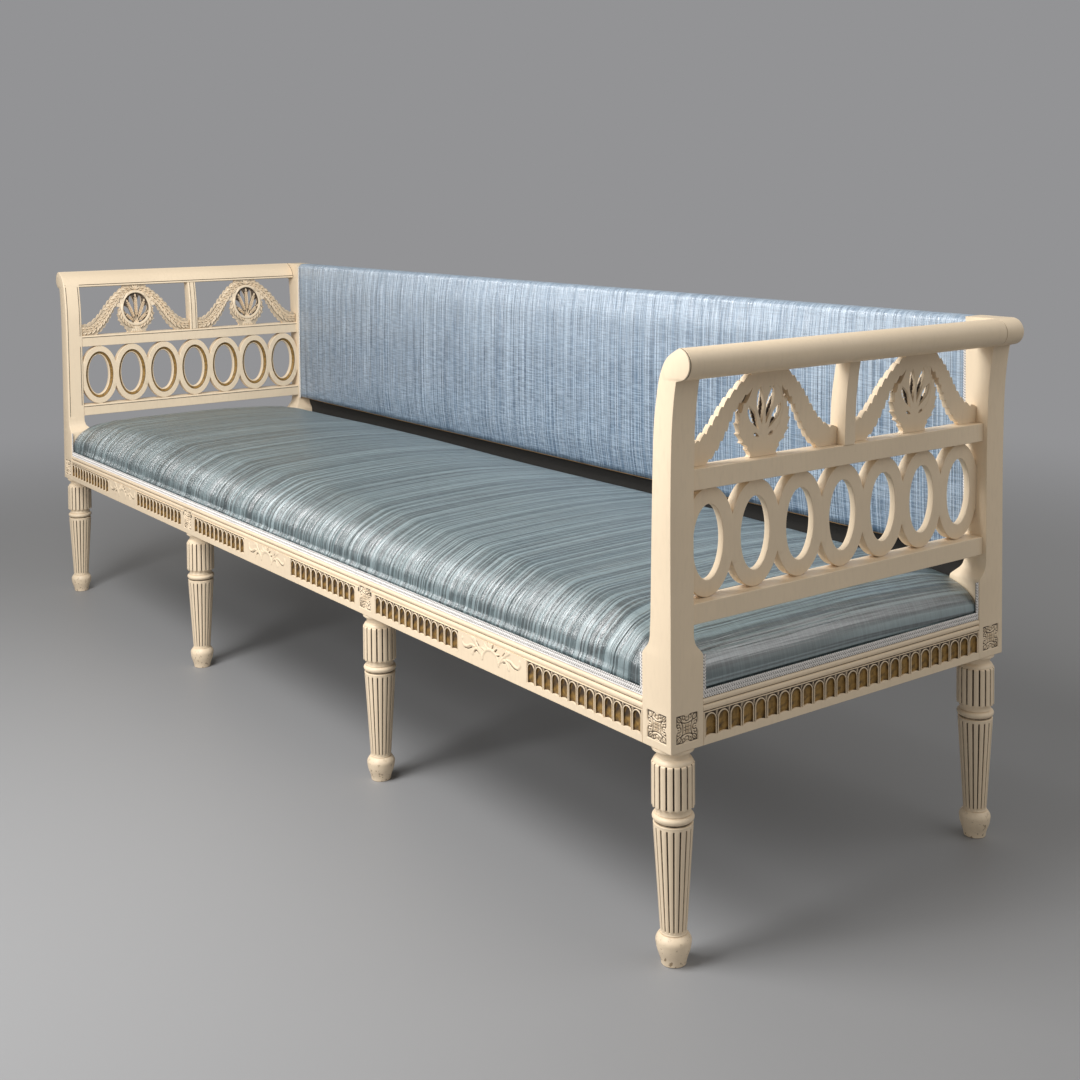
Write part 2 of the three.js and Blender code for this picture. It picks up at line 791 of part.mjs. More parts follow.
function seatPad() {
  const face = gimpSetback + gimpThickness + fit;
  const halfX = halfLength - face;
  const halfY = halfDepth - face;
  const base = railTop + fit + hessianThickness + fit;
  const acrossY = stations(halfY, padDepthSteps);
  const ringAt = (x) => {
    const domed = acrossY.map((y) => {
      const roll = rollAt(halfX - Math.abs(x)) * rollAt(halfY - Math.abs(y));
      const crown = (1 - square(x / halfX)) * (1 - square(y / halfY));
      return [y, base + padSideHeight + padRollHeight * roll + padCrown * crown];
    });
    const low = halfY - padDrawIn;
    return [[low, base], ...domed.reverse(), [-low, base]];
  };
  const rings = stations(halfX, padLengthSteps).map((x) => {
    const ring = ringAt(x);
    return ring.map(([y, z]) => {
      const drawn = z === base ? padDrawIn * square(square(x / halfX)) : 0;
      return new THREE.Vector3(x - Math.sign(x) * drawn, y, z);
    });
  });
  const dome = skin(rings, ringAt(halfX));
  const innerX = halfLength - blockSize - padClearance;
  const innerY = halfDepth - blockSize - padClearance;
  const corners = [-1, 1].flatMap((sideX) => [-1, 1].map((sideY) => box(
    [innerX * sideX, halfLength * sideX],
    [innerY * sideY, halfDepth * sideY],
    [legHeight, overallHeight],
  )));
  return cut(dome, corners);
}

// A gimp is one flat band with an upright end beside each post, drawn on (along, up).
function gimpOutline(half) {
  const base = railTop + fit;
  const inner = half - gimpHeight;
  return [
    [-half, base], [half, base], [half, blockTop], [inner, blockTop],
    [inner, base + gimpHeight], [-inner, base + gimpHeight], [-inner, blockTop], [-half, blockTop],
  ];
}

function longGimp(sideY) {
  const outer = (halfDepth - gimpSetback) * sideY;
  const inner = outer - gimpThickness * sideY;
  return alongY(gimpOutline(clearLength / 2 - fit), Math.min(outer, inner), Math.max(outer, inner));
}

function sideGimp(sideX) {
  const outer = (halfLength - gimpSetback) * sideX;
  const inner = outer - gimpThickness * sideX;
  return alongX(gimpOutline(clearDepth / 2 - fit), Math.min(outer, inner), Math.max(outer, inner));
}

// The linen under the seat laps onto the rails and is notched round the posts and the middle legs.
function bottomCover() {
  const halfX = halfLength - railThickness + coverLap;
  const halfY = halfDepth - railThickness + coverLap;
  const heights = [legHeight - fit - coverThickness, legHeight - fit];
  const keepOutX = halfLength - blockSize - coverClearance;
  const keepOutY = halfDepth - blockSize - coverClearance;
  const collar = collarRadius + coverClearance;
  const notches = [-1, 1].flatMap((sideX) => [-1, 1].flatMap((sideY) => [
    box([keepOutX * sideX, halfLength * sideX], [keepOutY * sideY, halfDepth * sideY], [0, legHeight]),
    box(
      [midLegX * sideX - collar, midLegX * sideX + collar],
      [(legY - collar) * sideY, halfDepth * sideY],
      [0, legHeight],
    ),
  ]));
  return cut(box(mirroredSpan(halfX), mirroredSpan(halfY), heights), notches);
}

// Back frame and its padding.
const backInner = backFront + backPadThickness;
const frameFront = backInner + fit + hessianThickness + fit;
const frameRear = frameFront + backFrameThickness;
const backPadInnerTop = overallHeight - backTopThickness;
const backTopRailBase = backPadInnerTop - fit - backRailHeight;

function backTenon(base, grow) {
  const middle = (frameFront + frameRear) / 2;
  const half = backTenonThickness / 2 + grow;
  return box(
    [backHalfSpan - backTenonLength, backHalfSpan + backTenonLength + grow],
    [middle - half, middle + half],
    [base + backTenonShoulder - grow, base + backRailHeight - backTenonShoulder + grow],
  );
}

function backRailBar(base) {
  const bar = box(mirroredSpan(backHalfSpan - fit), [frameFront, frameRear], [base, base + backRailHeight]);
  return joined(bar, backTenon(base, 0), otherHand(backTenon(base, 0)));
}

function backMuntin(x) {
  const half = backMuntinWidth / 2;
  const heights = [backBottom + fit + backRailHeight + fit, backTopRailBase - fit];
  return box([x - half, x + half], [frameFront, frameRear], heights);
}

function backHessian() {
  const near = backInner + fit;
  return box(
    mirroredSpan(backHalfSpan - fit - backTenonShoulder),
    [near, near + hessianThickness],
    [backBottom + backTenonShoulder, backPadInnerTop - fit],
  );
}

function backPad() {
  const half = backHalfSpan - fit;
  const rear = frameRear + backCoverThickness + fit * 2;
  const top = overallHeight;
  const height = top - backTopRoll - backBottom;
  const section = (share) => {
    const bulge = backCrown * (1 - square(square(share)));
    const front = backFrontShares.map((up) => [
      backFront - bulge * (1 - square(square(up * 2 - 1))),
      backBottom + height * up,
    ]);
    return [
      [backInner, backBottom],
      ...front,
      [backFront + backTopRoll * rollEaseShare, top - backTopRoll * rollEaseShare],
      [backFront + backTopRoll, top],
      [rear, top],
      [rear, top - backWrap],
      [rear - backCoverThickness, top - backWrap],
      [frameRear + fit, backPadInnerTop],
      [backInner, backPadInnerTop],
    ].reverse();
  };
  const rings = Array.from({ length: backLengthSteps + 1 }, (_, step) => {
    const share = Math.sin((Math.PI / 2) * ((2 * step) / backLengthSteps - 1));
    return section(share).map(([y, z]) => new THREE.Vector3(half * share, y, z));
  });
  return skin(rings, section(1));
}

function backCover() {
  const near = frameRear + fit;
  return box(
    mirroredSpan(backHalfSpan - fit),
    [near, near + backCoverThickness],
    [backBottom, overallHeight - backWrap - fit],
  );
}

function backGimp(side) {
  const outer = (backHalfSpan - fit) * side;
  return box(
    [outer - backGimpWidth * side, outer],
    [backFront - fit - gimpThickness, backFront - fit],
    [backBottom, overallHeight - backTopRoll],
  );
}

// Materials.
function finish(color, roughness) {
  return () => new THREE.MeshStandardMaterial({ color, roughness, metalness: 0 });
}

const painted = finish(paintColour, 0.45);
const seatCloth = finish(seatColour, 0.5);
const backCloth = finish(backColour, 0.5);
const braid = finish(gimpColour, 0.85);
const timber = finish(timberColour, 0.7);
const jute = finish(webbingColour, 0.95);
const linen = finish(linenColour, 0.95);

function piece(parent, name, geometry, material) {
  const mesh = new THREE.Mesh(geometry, material());
  mesh.name = name;
  parent.add(mesh);
  return mesh;
}

function addLegs(sofa) {
  const geometry = legGeometry();
  const columns = { left: -legX, mid_left: -midLegX, mid_right: midLegX, right: legX };
  for (const [row, y] of Object.entries({ front: -legY, back: legY })) {
    for (const [column, x] of Object.entries(columns)) {
      piece(sofa, `${row}_${column}_leg`, geometry, painted).position.set(x, y, 0);
    }
  }
}

function addPosts(sofa) {
  const front = post(true, true);
  const back = post(false, false);
  piece(sofa, "front_right_post", front, painted);
  piece(sofa, "front_left_post", otherHand(front), painted);
  piece(sofa, "back_right_post", back, painted);
  piece(sofa, "back_left_post", otherHand(back), painted);
}

function addSeatRails(sofa) {
  const front = piece(sofa, "front_seat_rail", longRail(true, frontArcades()), painted);
  front.position.set(0, -halfDepth, legHeight);
  const back = piece(sofa, "back_seat_rail", longRail(false, []), painted);
  back.rotation.z = Math.PI;
  back.position.set(0, halfDepth, legHeight);
  const side = sideRail();
  for (const [name, turn] of [["right", 1], ["left", -1]]) {
    const rail = piece(sofa, `${name}_seat_rail`, side, painted);
    rail.rotation.z = (Math.PI / 2) * turn;
    rail.position.set(halfLength * turn, 0, legHeight);
  }
}

function addSeatFrame(sofa) {
  piece(sofa, "left_cross_rail", crossRail(-midLegX), timber);
  piece(sofa, "right_cross_rail", crossRail(midLegX), timber);
  const brace = cornerBrace();
  const cornerX = halfLength - railThickness;
  const cornerY = halfDepth - railThickness;
  const corners = { front_right: [1, -1], back_right: [1, 1], back_left: [-1, 1], front_left: [-1, -1] };
  Object.entries(corners).forEach(([name, [x, y]], quarter) => {
    const mesh = piece(sofa, `${name}_brace`, brace, timber);
    mesh.rotation.z = (Math.PI / 2) * quarter;
    mesh.position.set(cornerX * x, cornerY * y, 0);
  });
  piece(sofa, "seat_webbing", seatWebbing(), jute);
  piece(sofa, "seat_hessian", seatHessian(), jute);
  piece(sofa, "seat_bottom_cover", bottomCover(), linen);
}

function addSeatUpholstery(sofa) {
  piece(sofa, "seat_pad", seatPad(), seatCloth);
  piece(sofa, "front_seat_gimp", longGimp(-1), braid);
  piece(sofa, "back_seat_gimp", longGimp(1), braid);
  piece(sofa, "left_seat_gimp", sideGimp(-1), braid);
  piece(sofa, "right_seat_gimp", sideGimp(1), braid);
}

// Both arms are the same piece, the left one turned half round.
function addArm(sofa, side, turn) {
  const arm = new THREE.Group();
  arm.rotation.z = turn;
  sofa.add(arm);
  const [near, far] = turn === 0 ? ["front", "back"] : ["back", "front"];
  piece(arm, `${side}_crest_rail`, crestRail(), painted);
  piece(arm, `${side}_mid_rail`, armRail(midRailBase, midRailTop), painted);
  piece(arm, `${side}_lower_rail`, armRail(lowerRailBase, lowerRailTop), painted);
  piece(arm, `${side}_arm_stile`, armStile(), painted);
  piece(arm, `${side}_oval_gallery`, ovalGallery(), painted);
  const inner = stileWidth / 2 + fit;
  const outer = armHalfSpan - fit;
  piece(arm, `${side}_${near}_garland`, garlandFret(-outer, -inner), painted);
  piece(arm, `${side}_${far}_garland`, garlandFret(inner, outer), painted);
}

function addBack(sofa) {
  piece(sofa, "back_bottom_rail", backRailBar(backBottom + fit), timber);
  piece(sofa, "back_top_rail", backRailBar(backTopRailBase), timber);
  piece(sofa, "back_left_muntin", backMuntin(-midLegX), timber);
  piece(sofa, "back_right_muntin", backMuntin(midLegX), timber);
  piece(sofa, "back_hessian", backHessian(), jute);
  piece(sofa, "back_pad", backPad(), backCloth);
  piece(sofa, "back_outer_cover", backCover(), backCloth);
  piece(sofa, "back_left_gimp", backGimp(-1), braid);
  piece(sofa, "back_right_gimp", backGimp(1), braid);
}

function recamier() {
  const sofa = new THREE.Group();
  sofa.name = "recamier";
  addLegs(sofa);
  addPosts(sofa);
  addSeatRails(sofa);
  addSeatFrame(sofa);
  addSeatUpholstery(sofa);
  addArm(sofa, "right", 0);
  addArm(sofa, "left", Math.PI);
  addBack(sofa);
  return sofa;
}

export default recamier();
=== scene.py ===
import math

import bmesh
import bpy
import numpy as np
from bpy.props import FloatProperty, FloatVectorProperty, IntProperty, PointerProperty
from mathutils import Matrix, Vector
from mathutils.geometry import delaunay_2d_cdt


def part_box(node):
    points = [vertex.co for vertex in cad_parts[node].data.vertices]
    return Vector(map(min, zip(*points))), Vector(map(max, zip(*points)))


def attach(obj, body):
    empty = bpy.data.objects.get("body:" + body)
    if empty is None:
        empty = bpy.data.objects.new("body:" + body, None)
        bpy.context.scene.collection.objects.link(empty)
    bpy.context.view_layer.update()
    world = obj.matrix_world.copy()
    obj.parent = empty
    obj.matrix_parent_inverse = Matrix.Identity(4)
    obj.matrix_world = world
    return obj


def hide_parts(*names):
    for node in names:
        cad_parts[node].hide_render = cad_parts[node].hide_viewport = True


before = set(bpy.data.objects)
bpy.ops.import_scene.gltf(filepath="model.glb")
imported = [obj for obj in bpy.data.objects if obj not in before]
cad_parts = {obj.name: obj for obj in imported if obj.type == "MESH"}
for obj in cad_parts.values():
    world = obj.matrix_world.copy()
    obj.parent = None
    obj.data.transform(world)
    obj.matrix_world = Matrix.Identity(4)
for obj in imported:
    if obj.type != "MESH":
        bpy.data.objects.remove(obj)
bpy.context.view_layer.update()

bl_info = {
    "name": "Painted Gustavian Sofa",
    "version": (1, 0, 0),
    "blender": (4, 5, 0),
    "location": "View3D > Sidebar > Sofa",
    "description": "Carves, paints and upholsters a long painted sofa round its packed frame",
    "category": "Add Mesh",
}

# Places read from the frame, in metres.
POST_LOW, POST_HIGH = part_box("front_right_post")
LOWER_LOW, LOWER_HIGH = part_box("right_lower_rail")
MID_LOW, MID_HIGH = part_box("right_mid_rail")
STILE_LOW, STILE_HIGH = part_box("right_arm_stile")
GALLERY_LOW, GALLERY_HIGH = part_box("right_oval_gallery")
FRET_LOW, FRET_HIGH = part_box("right_back_garland")
SEAT_LOW, SEAT_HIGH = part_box("seat_pad")
GIMP_LOW, GIMP_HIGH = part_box("front_seat_gimp")
BACK_LOW, BACK_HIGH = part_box("back_pad")
COVER_LOW, COVER_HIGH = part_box("back_outer_cover")
WEB_LOW, WEB_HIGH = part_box("seat_webbing")
HESSIAN_LOW, HESSIAN_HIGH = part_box("seat_hessian")
BACK_HESSIAN_LOW, BACK_HESSIAN_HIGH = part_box("back_hessian")
LINING_LOW, LINING_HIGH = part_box("seat_bottom_cover")

BLOCK = POST_HIGH.y - POST_LOW.y
HALF_DEPTH = -POST_LOW.y
HALF_LENGTH = POST_LOW.x + BLOCK
RAIL_BASE = POST_LOW.z
RAIL_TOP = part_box("front_seat_rail")[1].z
TOP = POST_HIGH.z
LEG_X = HALF_LENGTH - BLOCK / 2
LEG_Y = HALF_DEPTH - BLOCK / 2
MID_LEG_X = LEG_X / 3

# Shape of the posts, as distances out from the block's face over the height above the block's taper.
BLOCK_HEIGHT = 0.118
TAPER_HEIGHT = 0.040
UPRIGHT = 0.0405
UPRIGHT_DEPTH = 0.040
SCROLL_RADIUS = 0.0205
CREST_HEIGHT = 0.038
NOTCH_REACH = 0.0118
NOTCH_DROP = 0.0045
BLOCK_TOP = RAIL_BASE + BLOCK_HEIGHT
TAPER_TOP = BLOCK_TOP + TAPER_HEIGHT
CREST_BASE = TOP - CREST_HEIGHT
SCROLL_X = POST_HIGH.x - SCROLL_RADIUS
SCROLL_Z = TOP - SCROLL_RADIUS
SCROLL_REACH = SCROLL_X - HALF_LENGTH
NOTCH_Z = CREST_BASE - NOTCH_DROP
TAPER_SHARES = [(0, 0), (0.1, 0.1), (0.38, 0.75), (0.6, 0.95), (0.76, 1), (1, 1)]
INNER_SHARES = [(0, 0), (0.45, 0.075), (0.7, 0.14), (0.82, 0.247), (0.896, 0.359), (0.96, 0.59), (1, 1)]
OUTER_SHARES = [(0, 0), (0.36, 0), (0.6, 0.08), (0.8, 0.28), (0.93, 0.66), (1, 1)]
ARM_SPAN = HALF_DEPTH - UPRIGHT_DEPTH
ARM_OUTSET = HALF_LENGTH - LOWER_HIGH.x

# Small mouldings of the joiner and the carver.
EDGE = 0.0007
CORNER_BEAD = 0.0021
BEAD_WIDTH = 0.0041
QUIRK_WIDTH = 0.0019
QUIRK_DEPTH = 0.0017
SEAM_SET = 0.0021
MERGE = 0.000004
SHARP = math.radians(36)


def linear(red, green, blue):
    """A colour written as it looks on a screen, turned into scene light."""
    return tuple(((part / 255 + 0.055) / 1.055) ** 2.4 for part in (red, green, blue))


def tint(label, about, colour):
    return FloatVectorProperty(name=label, description=about, subtype="COLOR", default=colour,
                               min=0, max=1)


def length(label, about, default):
    return FloatProperty(name=label, description=about, subtype="DISTANCE", unit="LENGTH",
                         default=default, min=0, precision=4)


def power(label, about, default):
    return FloatProperty(name=label, description=about, subtype="POWER", unit="POWER",
                         default=default, min=0)


class SofaPaint(bpy.types.PropertyGroup):
    """Colours of the painted wood."""
    cream: tint("Cream", "Aged paint over all the show wood", linear(238, 217, 187))
    # Also the colour of the painted shade on the arcade walls and the darts between the arches.
    dirt: tint("Dirt", "What has gathered in the carving", linear(58, 44, 32))
    gilt: tint("Gilt", "Bronze paint in the arcades and the ovals", linear(164, 128, 68))
    timber: tint("Timber", "Bare wood of the hidden frame", linear(188, 150, 104))


class SofaCloth(bpy.types.PropertyGroup):
    """Colours and fullness of the upholstery."""
    seat: tint("Seat", "Ribbed silk of the seat", linear(60, 84, 89))
    back: tint("Back", "Slubbed silk of the back", linear(108, 140, 170))
    braid: tint("Braid", "Two rows of lilac white gimp", linear(250, 246, 242))
    jute: tint("Jute", "Webbing and hessian", linear(172, 150, 108))
    linen: tint("Linen", "Lining under the seat", linear(74, 71, 67))
    seat_puff: length("Seat puff", "How far the stuffing may push the seat cloth", 0.006)
    back_puff: length("Back puff", "How far the stuffing may push the back cloth", 0.004)


class SofaCarving(bpy.types.PropertyGroup):
    """Sizes of the turned and carved work."""
    flute_count: IntProperty(name="Flutes", description="Flutes round a leg", default=18, min=6)
    flute_depth: length("Flute depth", "Depth of each flute", 0.0022)
    arch_share: FloatProperty(name="Arch share", default=0.75, min=0.4, max=0.9,
                              description="Clear width of a blind arch over its pitch")
    arch_depth: length("Arch depth", "Depth of a blind arch", 0.0029)
    leaf_length: length("Leaf length", "Length of one laurel leaf", 0.0185)
    leaf_width: length("Leaf width", "Width of one laurel leaf", 0.0080)
    grain_length: length("Grain length", "Length of one grain of a wheat ear", 0.0094)


class SofaStudio(bpy.types.PropertyGroup):
    """Floor, lamps and lens of the studio."""
    floor: tint("Floor", "Pale studio floor", linear(146, 146, 147))
    backdrop: tint("Backdrop", "What the camera sees behind the floor", linear(147, 147, 149))
    key_power: power("Key", "Power of the key lamp", 34)
    fill_power: power("Fill", "Power of the fill lamp", 20)
    top_power: power("Top", "Power of the overhead lamp", 43)
    sky: FloatProperty(name="Sky", description="Strength of the even light", default=0.34, min=0)
    lens: FloatProperty(name="Lens", description="Focal length", default=48.744, min=1,
                        subtype="DISTANCE_CAMERA", unit="CAMERA")


def paint():
    return bpy.context.scene.sofa_paint


def cloth():
    return bpy.context.scene.sofa_cloth


def carving():
    return bpy.context.scene.sofa_carving


def studio():
    return bpy.context.scene.sofa_studio


class Value:
    """A number that varies over a surface. A sum of such values adds its Math nodes."""

    def __init__(self, finish, socket):
        self.finish = finish
        self.socket = socket

    def maths(self, operation, *terms):
        return self.finish.node("ShaderNodeMath", {"operation": operation}, dict(enumerate(terms)))

    def __add__(self, other):
        return self.maths("ADD", self, other)

    __radd__ = __add__

    def __sub__(self, other):
        return self.maths("SUBTRACT", self, other)

    def __rsub__(self, other):
        return self.maths("SUBTRACT", other, self)

    def __mul__(self, other):
        return self.maths("MULTIPLY", self, other)

    __rmul__ = __mul__

    def over(self, low, high):
        """0 below low, 1 above high and smooth between them."""
        settings = {"interpolation_type": "SMOOTHSTEP"}
        return self.finish.node("ShaderNodeMapRange", settings, {0: self, 1: low, 2: high})


class Finish:
    """One procedural material."""

    def __init__(self, name):
        self.material = bpy.data.materials.new(name)
        self.material.use_nodes = True
        self.tree = self.material.node_tree
        self.shader = self.tree.nodes["Principled BSDF"]

    def node(self, kind, settings=None, inputs=None, output=0):
        made = self.tree.nodes.new(kind)
        for name, value in (settings or {}).items():
            setattr(made, name, value)
        for name, value in (inputs or {}).items():
            self.feed(made.inputs[name], value)
        return Value(self, made.outputs[output])

    def feed(self, socket, value):
        if isinstance(value, Value):
            self.tree.links.new(value.socket, socket)
        else:
            socket.default_value = value

    def mark(self, name):
        return self.node("ShaderNodeAttribute", {"attribute_name": name}, output=2)

    def place(self, name=None):
        """Object coordinates, or a named place that follows the cloth."""
        if name:
            return self.node("ShaderNodeAttribute", {"attribute_name": name}, output=1)
        return self.node("ShaderNodeTexCoord", output=3)

    def stretched(self, place, scale):
        return self.node("ShaderNodeMapping", None, {"Vector": place, "Scale": scale})

    def noise(self, place, scale, detail=3.0):
        return self.node("ShaderNodeTexNoise", None,
                         {"Vector": place, "Scale": scale, "Detail": detail})

    def cells(self, place, scale, output):
        """Distance (0) or random colour (1) of scattered cells."""
        return self.node("ShaderNodeTexVoronoi", None, {"Vector": place, "Scale": scale}, output)

    def mix(self, factor, first, second):
        paints = [part if isinstance(part, Value) else (*part, 1.0) for part in (first, second)]
        return self.node("ShaderNodeMix", {"data_type": "RGBA"},
                         {0: factor, 6: paints[0], 7: paints[1]}, output=2)

    def bump(self, height, strength, distance):
        return self.node("ShaderNodeBump", None,
                         {"Strength": strength, "Distance": distance, "Height": height})

    def set(self, **sockets):
        for name, value in sockets.items():
            self.feed(self.shader.inputs[name.replace("_", " ")], value)
        return self.material


def shade(colour, share):
    return tuple(part * share for part in colour)


def specks(finish, place, scale, size, rarity):
    """A mask of rare small spots, one at most in each cell."""
    near = 1 - finish.cells(place, scale, 0).over(size * 0.6, size)
    chosen = finish.cells(place, scale, 1).over(rarity, rarity + 0.01)
    return near * chosen


def painted_wood():
    finish = Finish("Cream paint")
    place = finish.place()
    dirt = finish.mark("patina")
    gilt = finish.mark("gilt")
    broad = finish.noise(place, 4.0)
    brush = finish.noise(finish.stretched(place, (60, 60, 14)), 3.0, 5.0)
    grime = finish.noise(place, 160.0, 4.0)
    spots = specks(finish, place, 34.0, 0.035, 0.80)
    cream = tuple(paint().cream)
    dark = tuple(paint().dirt)
    aged = finish.mix(broad.over(0.35, 0.7), cream, shade(cream, 0.93))
    aged = finish.mix(brush.over(0.45, 0.75) * 0.35, aged, shade(cream, 0.86))
    bronze = finish.mix(grime.over(0.35, 0.7), tuple(paint().gilt), shade(tuple(paint().gilt), 0.55))
    coat = finish.mix(gilt, aged, bronze)
    # Darkening from the point mark: old dirt in the carving's hollows, and painted shade on the walls of
    # the arcade openings and the darts between the arches.
    darkening = (dirt * (grime * 0.9 + 0.55)).over(0.12, 0.85)
    coat = finish.mix(darkening, coat, dark)
    coat = finish.mix(spots * 0.8, coat, shade(cream, 0.3))
    height = finish.node("ShaderNodeSeparateXYZ", None, {0: place}, 2)
    scuffs = finish.noise(place, 170.0, 4.0).over(0.58, 0.66) * (1 - height.over(0.010, 0.055))
    coat = finish.mix(scuffs * 0.75, coat, shade(tuple(paint().timber), 0.42))
    rough = 0.40 + brush * 0.14 + darkening * 0.25
    relief = finish.bump(brush + grime * 0.4, 0.10, 0.0006)
    return finish.set(Base_Color=coat, Roughness=rough, Metallic=gilt * 0.25 * (1 - darkening),
                      Normal=relief)


def bare_timber():
    finish = Finish("Bare timber")
    place = finish.place()
    grain = finish.noise(finish.stretched(place, (5, 46, 46)), 2.0, 5.0)
    pores = finish.noise(finish.stretched(place, (20, 300, 300)), 1.0)
    wood = tuple(paint().timber)
    colour = finish.mix(grain.over(0.35, 0.65), wood, shade(wood, 0.68))
    colour = finish.mix(pores.over(0.55, 0.7) * 0.5, colour, shade(wood, 0.45))
    return finish.set(Base_Color=colour, Roughness=0.62 + grain * 0.2,
                      Normal=finish.bump(grain + pores, 0.2, 0.0008))


WAVE_PERIOD = 0.314
THREAD_LEAN = 4.4
SILK_IOR = 2.15
# Painted sheen near the top of the back: where along the cloth it rises (start) and dies away (stop).
SHEEN_START = (0.16, 0.36)
SHEEN_STOP = (0.40, 0.43)

# Noises of the silk: scales across and along its threads, and detail.
SILK_NOISES = {
    "hair": (3600, 12, 0.0),
    "fine": (1300, 5, 0.0),
    "thread": (480, 1.3, 1.0),
    "line": (330, 0.9, 0.0),
    "streak": (120, 0.8, 1.0),
    "bands": (30, 0.6, 3.0),
    "weft": (28, 500, 0.0),
    "under": (36, 580, 0.0),
    "slub": (8, 260, 1.0),
    "broad": (3, 3, 2.0),
}

# Colours laid over the silk: noise, its low and high end, strength, whether it crosses, pale or dark.
SILK_LAYERS = [
    ("thread", 0.47, 0.54, 0.92, False, "dark"),
    ("line", 0.51, 0.57, 0.84, False, "pale"),
    ("streak", 0.56, 0.68, 0.10, False, "pale"),
    ("under", 0.50, 0.58, 0.50, True, "dark"),
    ("weft", 0.52, 0.60, 0.44, True, "pale"),
    ("slub", 0.60, 0.70, 0.16, True, "pale"),
]


def woven(finish, place, pitch):
    """Height of a plain weave whose threads lie a pitch apart."""
    across, along = (finish.node("ShaderNodeTexWave", {"wave_type": "BANDS", "bands_direction": way},
                                 {"Vector": place, "Scale": WAVE_PERIOD / pitch, "Distortion": 0.6}, 1)
                     for way in "XY")
    return across.maths("MAXIMUM", across, along)


def coarse_cloth(name, colour, pitch):
    finish = Finish(name)
    place = finish.place("cloth")
    weave = woven(finish, place, pitch)
    wear = finish.noise(place, 22.0, 4.0)
    hue = finish.mix(weave, shade(colour, 0.5), colour)
    hue = finish.mix(wear.over(0.4, 0.7) * 0.4, hue, shade(colour, 0.7))
    return finish.set(Base_Color=hue, Roughness=0.92, Normal=finish.bump(weave, 0.5, pitch / 3))


def streaked_silk(name, colour, pale, dark, flecks, rough, slubby, top_sheen):
    """Silk whose uneven threads run along the second cloth direction and each catch the light."""
    finish = Finish(name)
    place = finish.place("cloth")
    noises = {label: finish.noise(finish.stretched(place, (across, along, 1)), 1.0, detail)
              for label, (across, along, detail) in SILK_NOISES.items()}
    hue = finish.mix(noises["bands"].over(0.38, 0.64), shade(colour, 0.94), colour)
    for label, low, high, strength, crossing, tone in SILK_LAYERS:
        share = noises[label].over(low, high) * (strength * slubby if crossing else strength)
        hue = finish.mix(share, hue, {"pale": pale, "dark": dark}[tone])
    hue = finish.mix(noises["broad"].over(0.4, 0.7) * 0.16, hue, shade(colour, 0.7))
    # Painted highlight: a pale band over the upper front, roll and top of the back, standing in for the
    # sheen its silk catches there.
    height = finish.node("ShaderNodeSeparateXYZ", None, {0: place}, 1)
    hue = finish.mix(height.over(*SHEEN_START) * (1 - height.over(*SHEEN_STOP)) * top_sheen, hue, pale)
    spots = specks(finish, finish.stretched(place, (0.4, 1.2, 1)), 26.0, 0.030, flecks)
    hue = finish.mix(spots * 0.75, hue, shade(pale, 1.2))
    relief = noises["thread"] + noises["line"] * 0.8 + noises["streak"] * 0.2
    relief = relief + noises["weft"] * 0.10 * slubby
    leaning = leaned(finish, finish.bump(relief, 0.5, 0.0008), noises["hair"], noises["fine"])
    return finish.set(Base_Color=hue, Roughness=rough + noises["line"].over(0.40, 0.60) * 0.10,
                      IOR=SILK_IOR, Specular_IOR_Level=1.0, Normal=leaning)


def leaned(finish, normal, coarse, fine):
    """A normal that leans to and fro across the threads, most where the cloth faces up or forwards."""
    facing = finish.node("ShaderNodeNewGeometry", output=1)
    facing = finish.node("ShaderNodeSeparateXYZ", None, {0: facing})
    lean = (coarse - 0.5) * THREAD_LEAN + (fine - 0.5) * (THREAD_LEAN * 0.5)
    across = finish.node("ShaderNodeCombineXYZ", None, {0: lean * (1 - facing * facing)})
    both = finish.node("ShaderNodeVectorMath", {"operation": "ADD"}, {0: normal, 1: across})
    return finish.node("ShaderNodeVectorMath", {"operation": "NORMALIZE"}, {0: both})


def braid_yarn():
    finish = Finish("Lilac braid")
    place = finish.place()
    strands = finish.noise(place, 900.0, 3.0)
    soil = finish.noise(place, 30.0, 3.0)
    dirt = finish.mark("patina")
    yarn = tuple(cloth().braid)
    hue = finish.mix(strands.over(0.35, 0.7), yarn, shade(yarn, 0.66))
    hue = finish.mix(soil.over(0.45, 0.75) * 0.25, hue, shade(yarn, 0.6))
    # Painted shade: the marked tape under the stitches is drawn near black so that it reads as the shadow
    # between them.
    hue = finish.mix(dirt, hue, shade(yarn, 0.22))
    return finish.set(Base_Color=hue, Roughness=0.9, Normal=finish.bump(strands, 0.5, 0.0004))


def finish_named(name, make, *details):
    """The material of that name, made on its first use."""
    return bpy.data.materials.get(name) or make(*details)


def cream_paint():
    return finish_named("Cream paint", painted_wood)


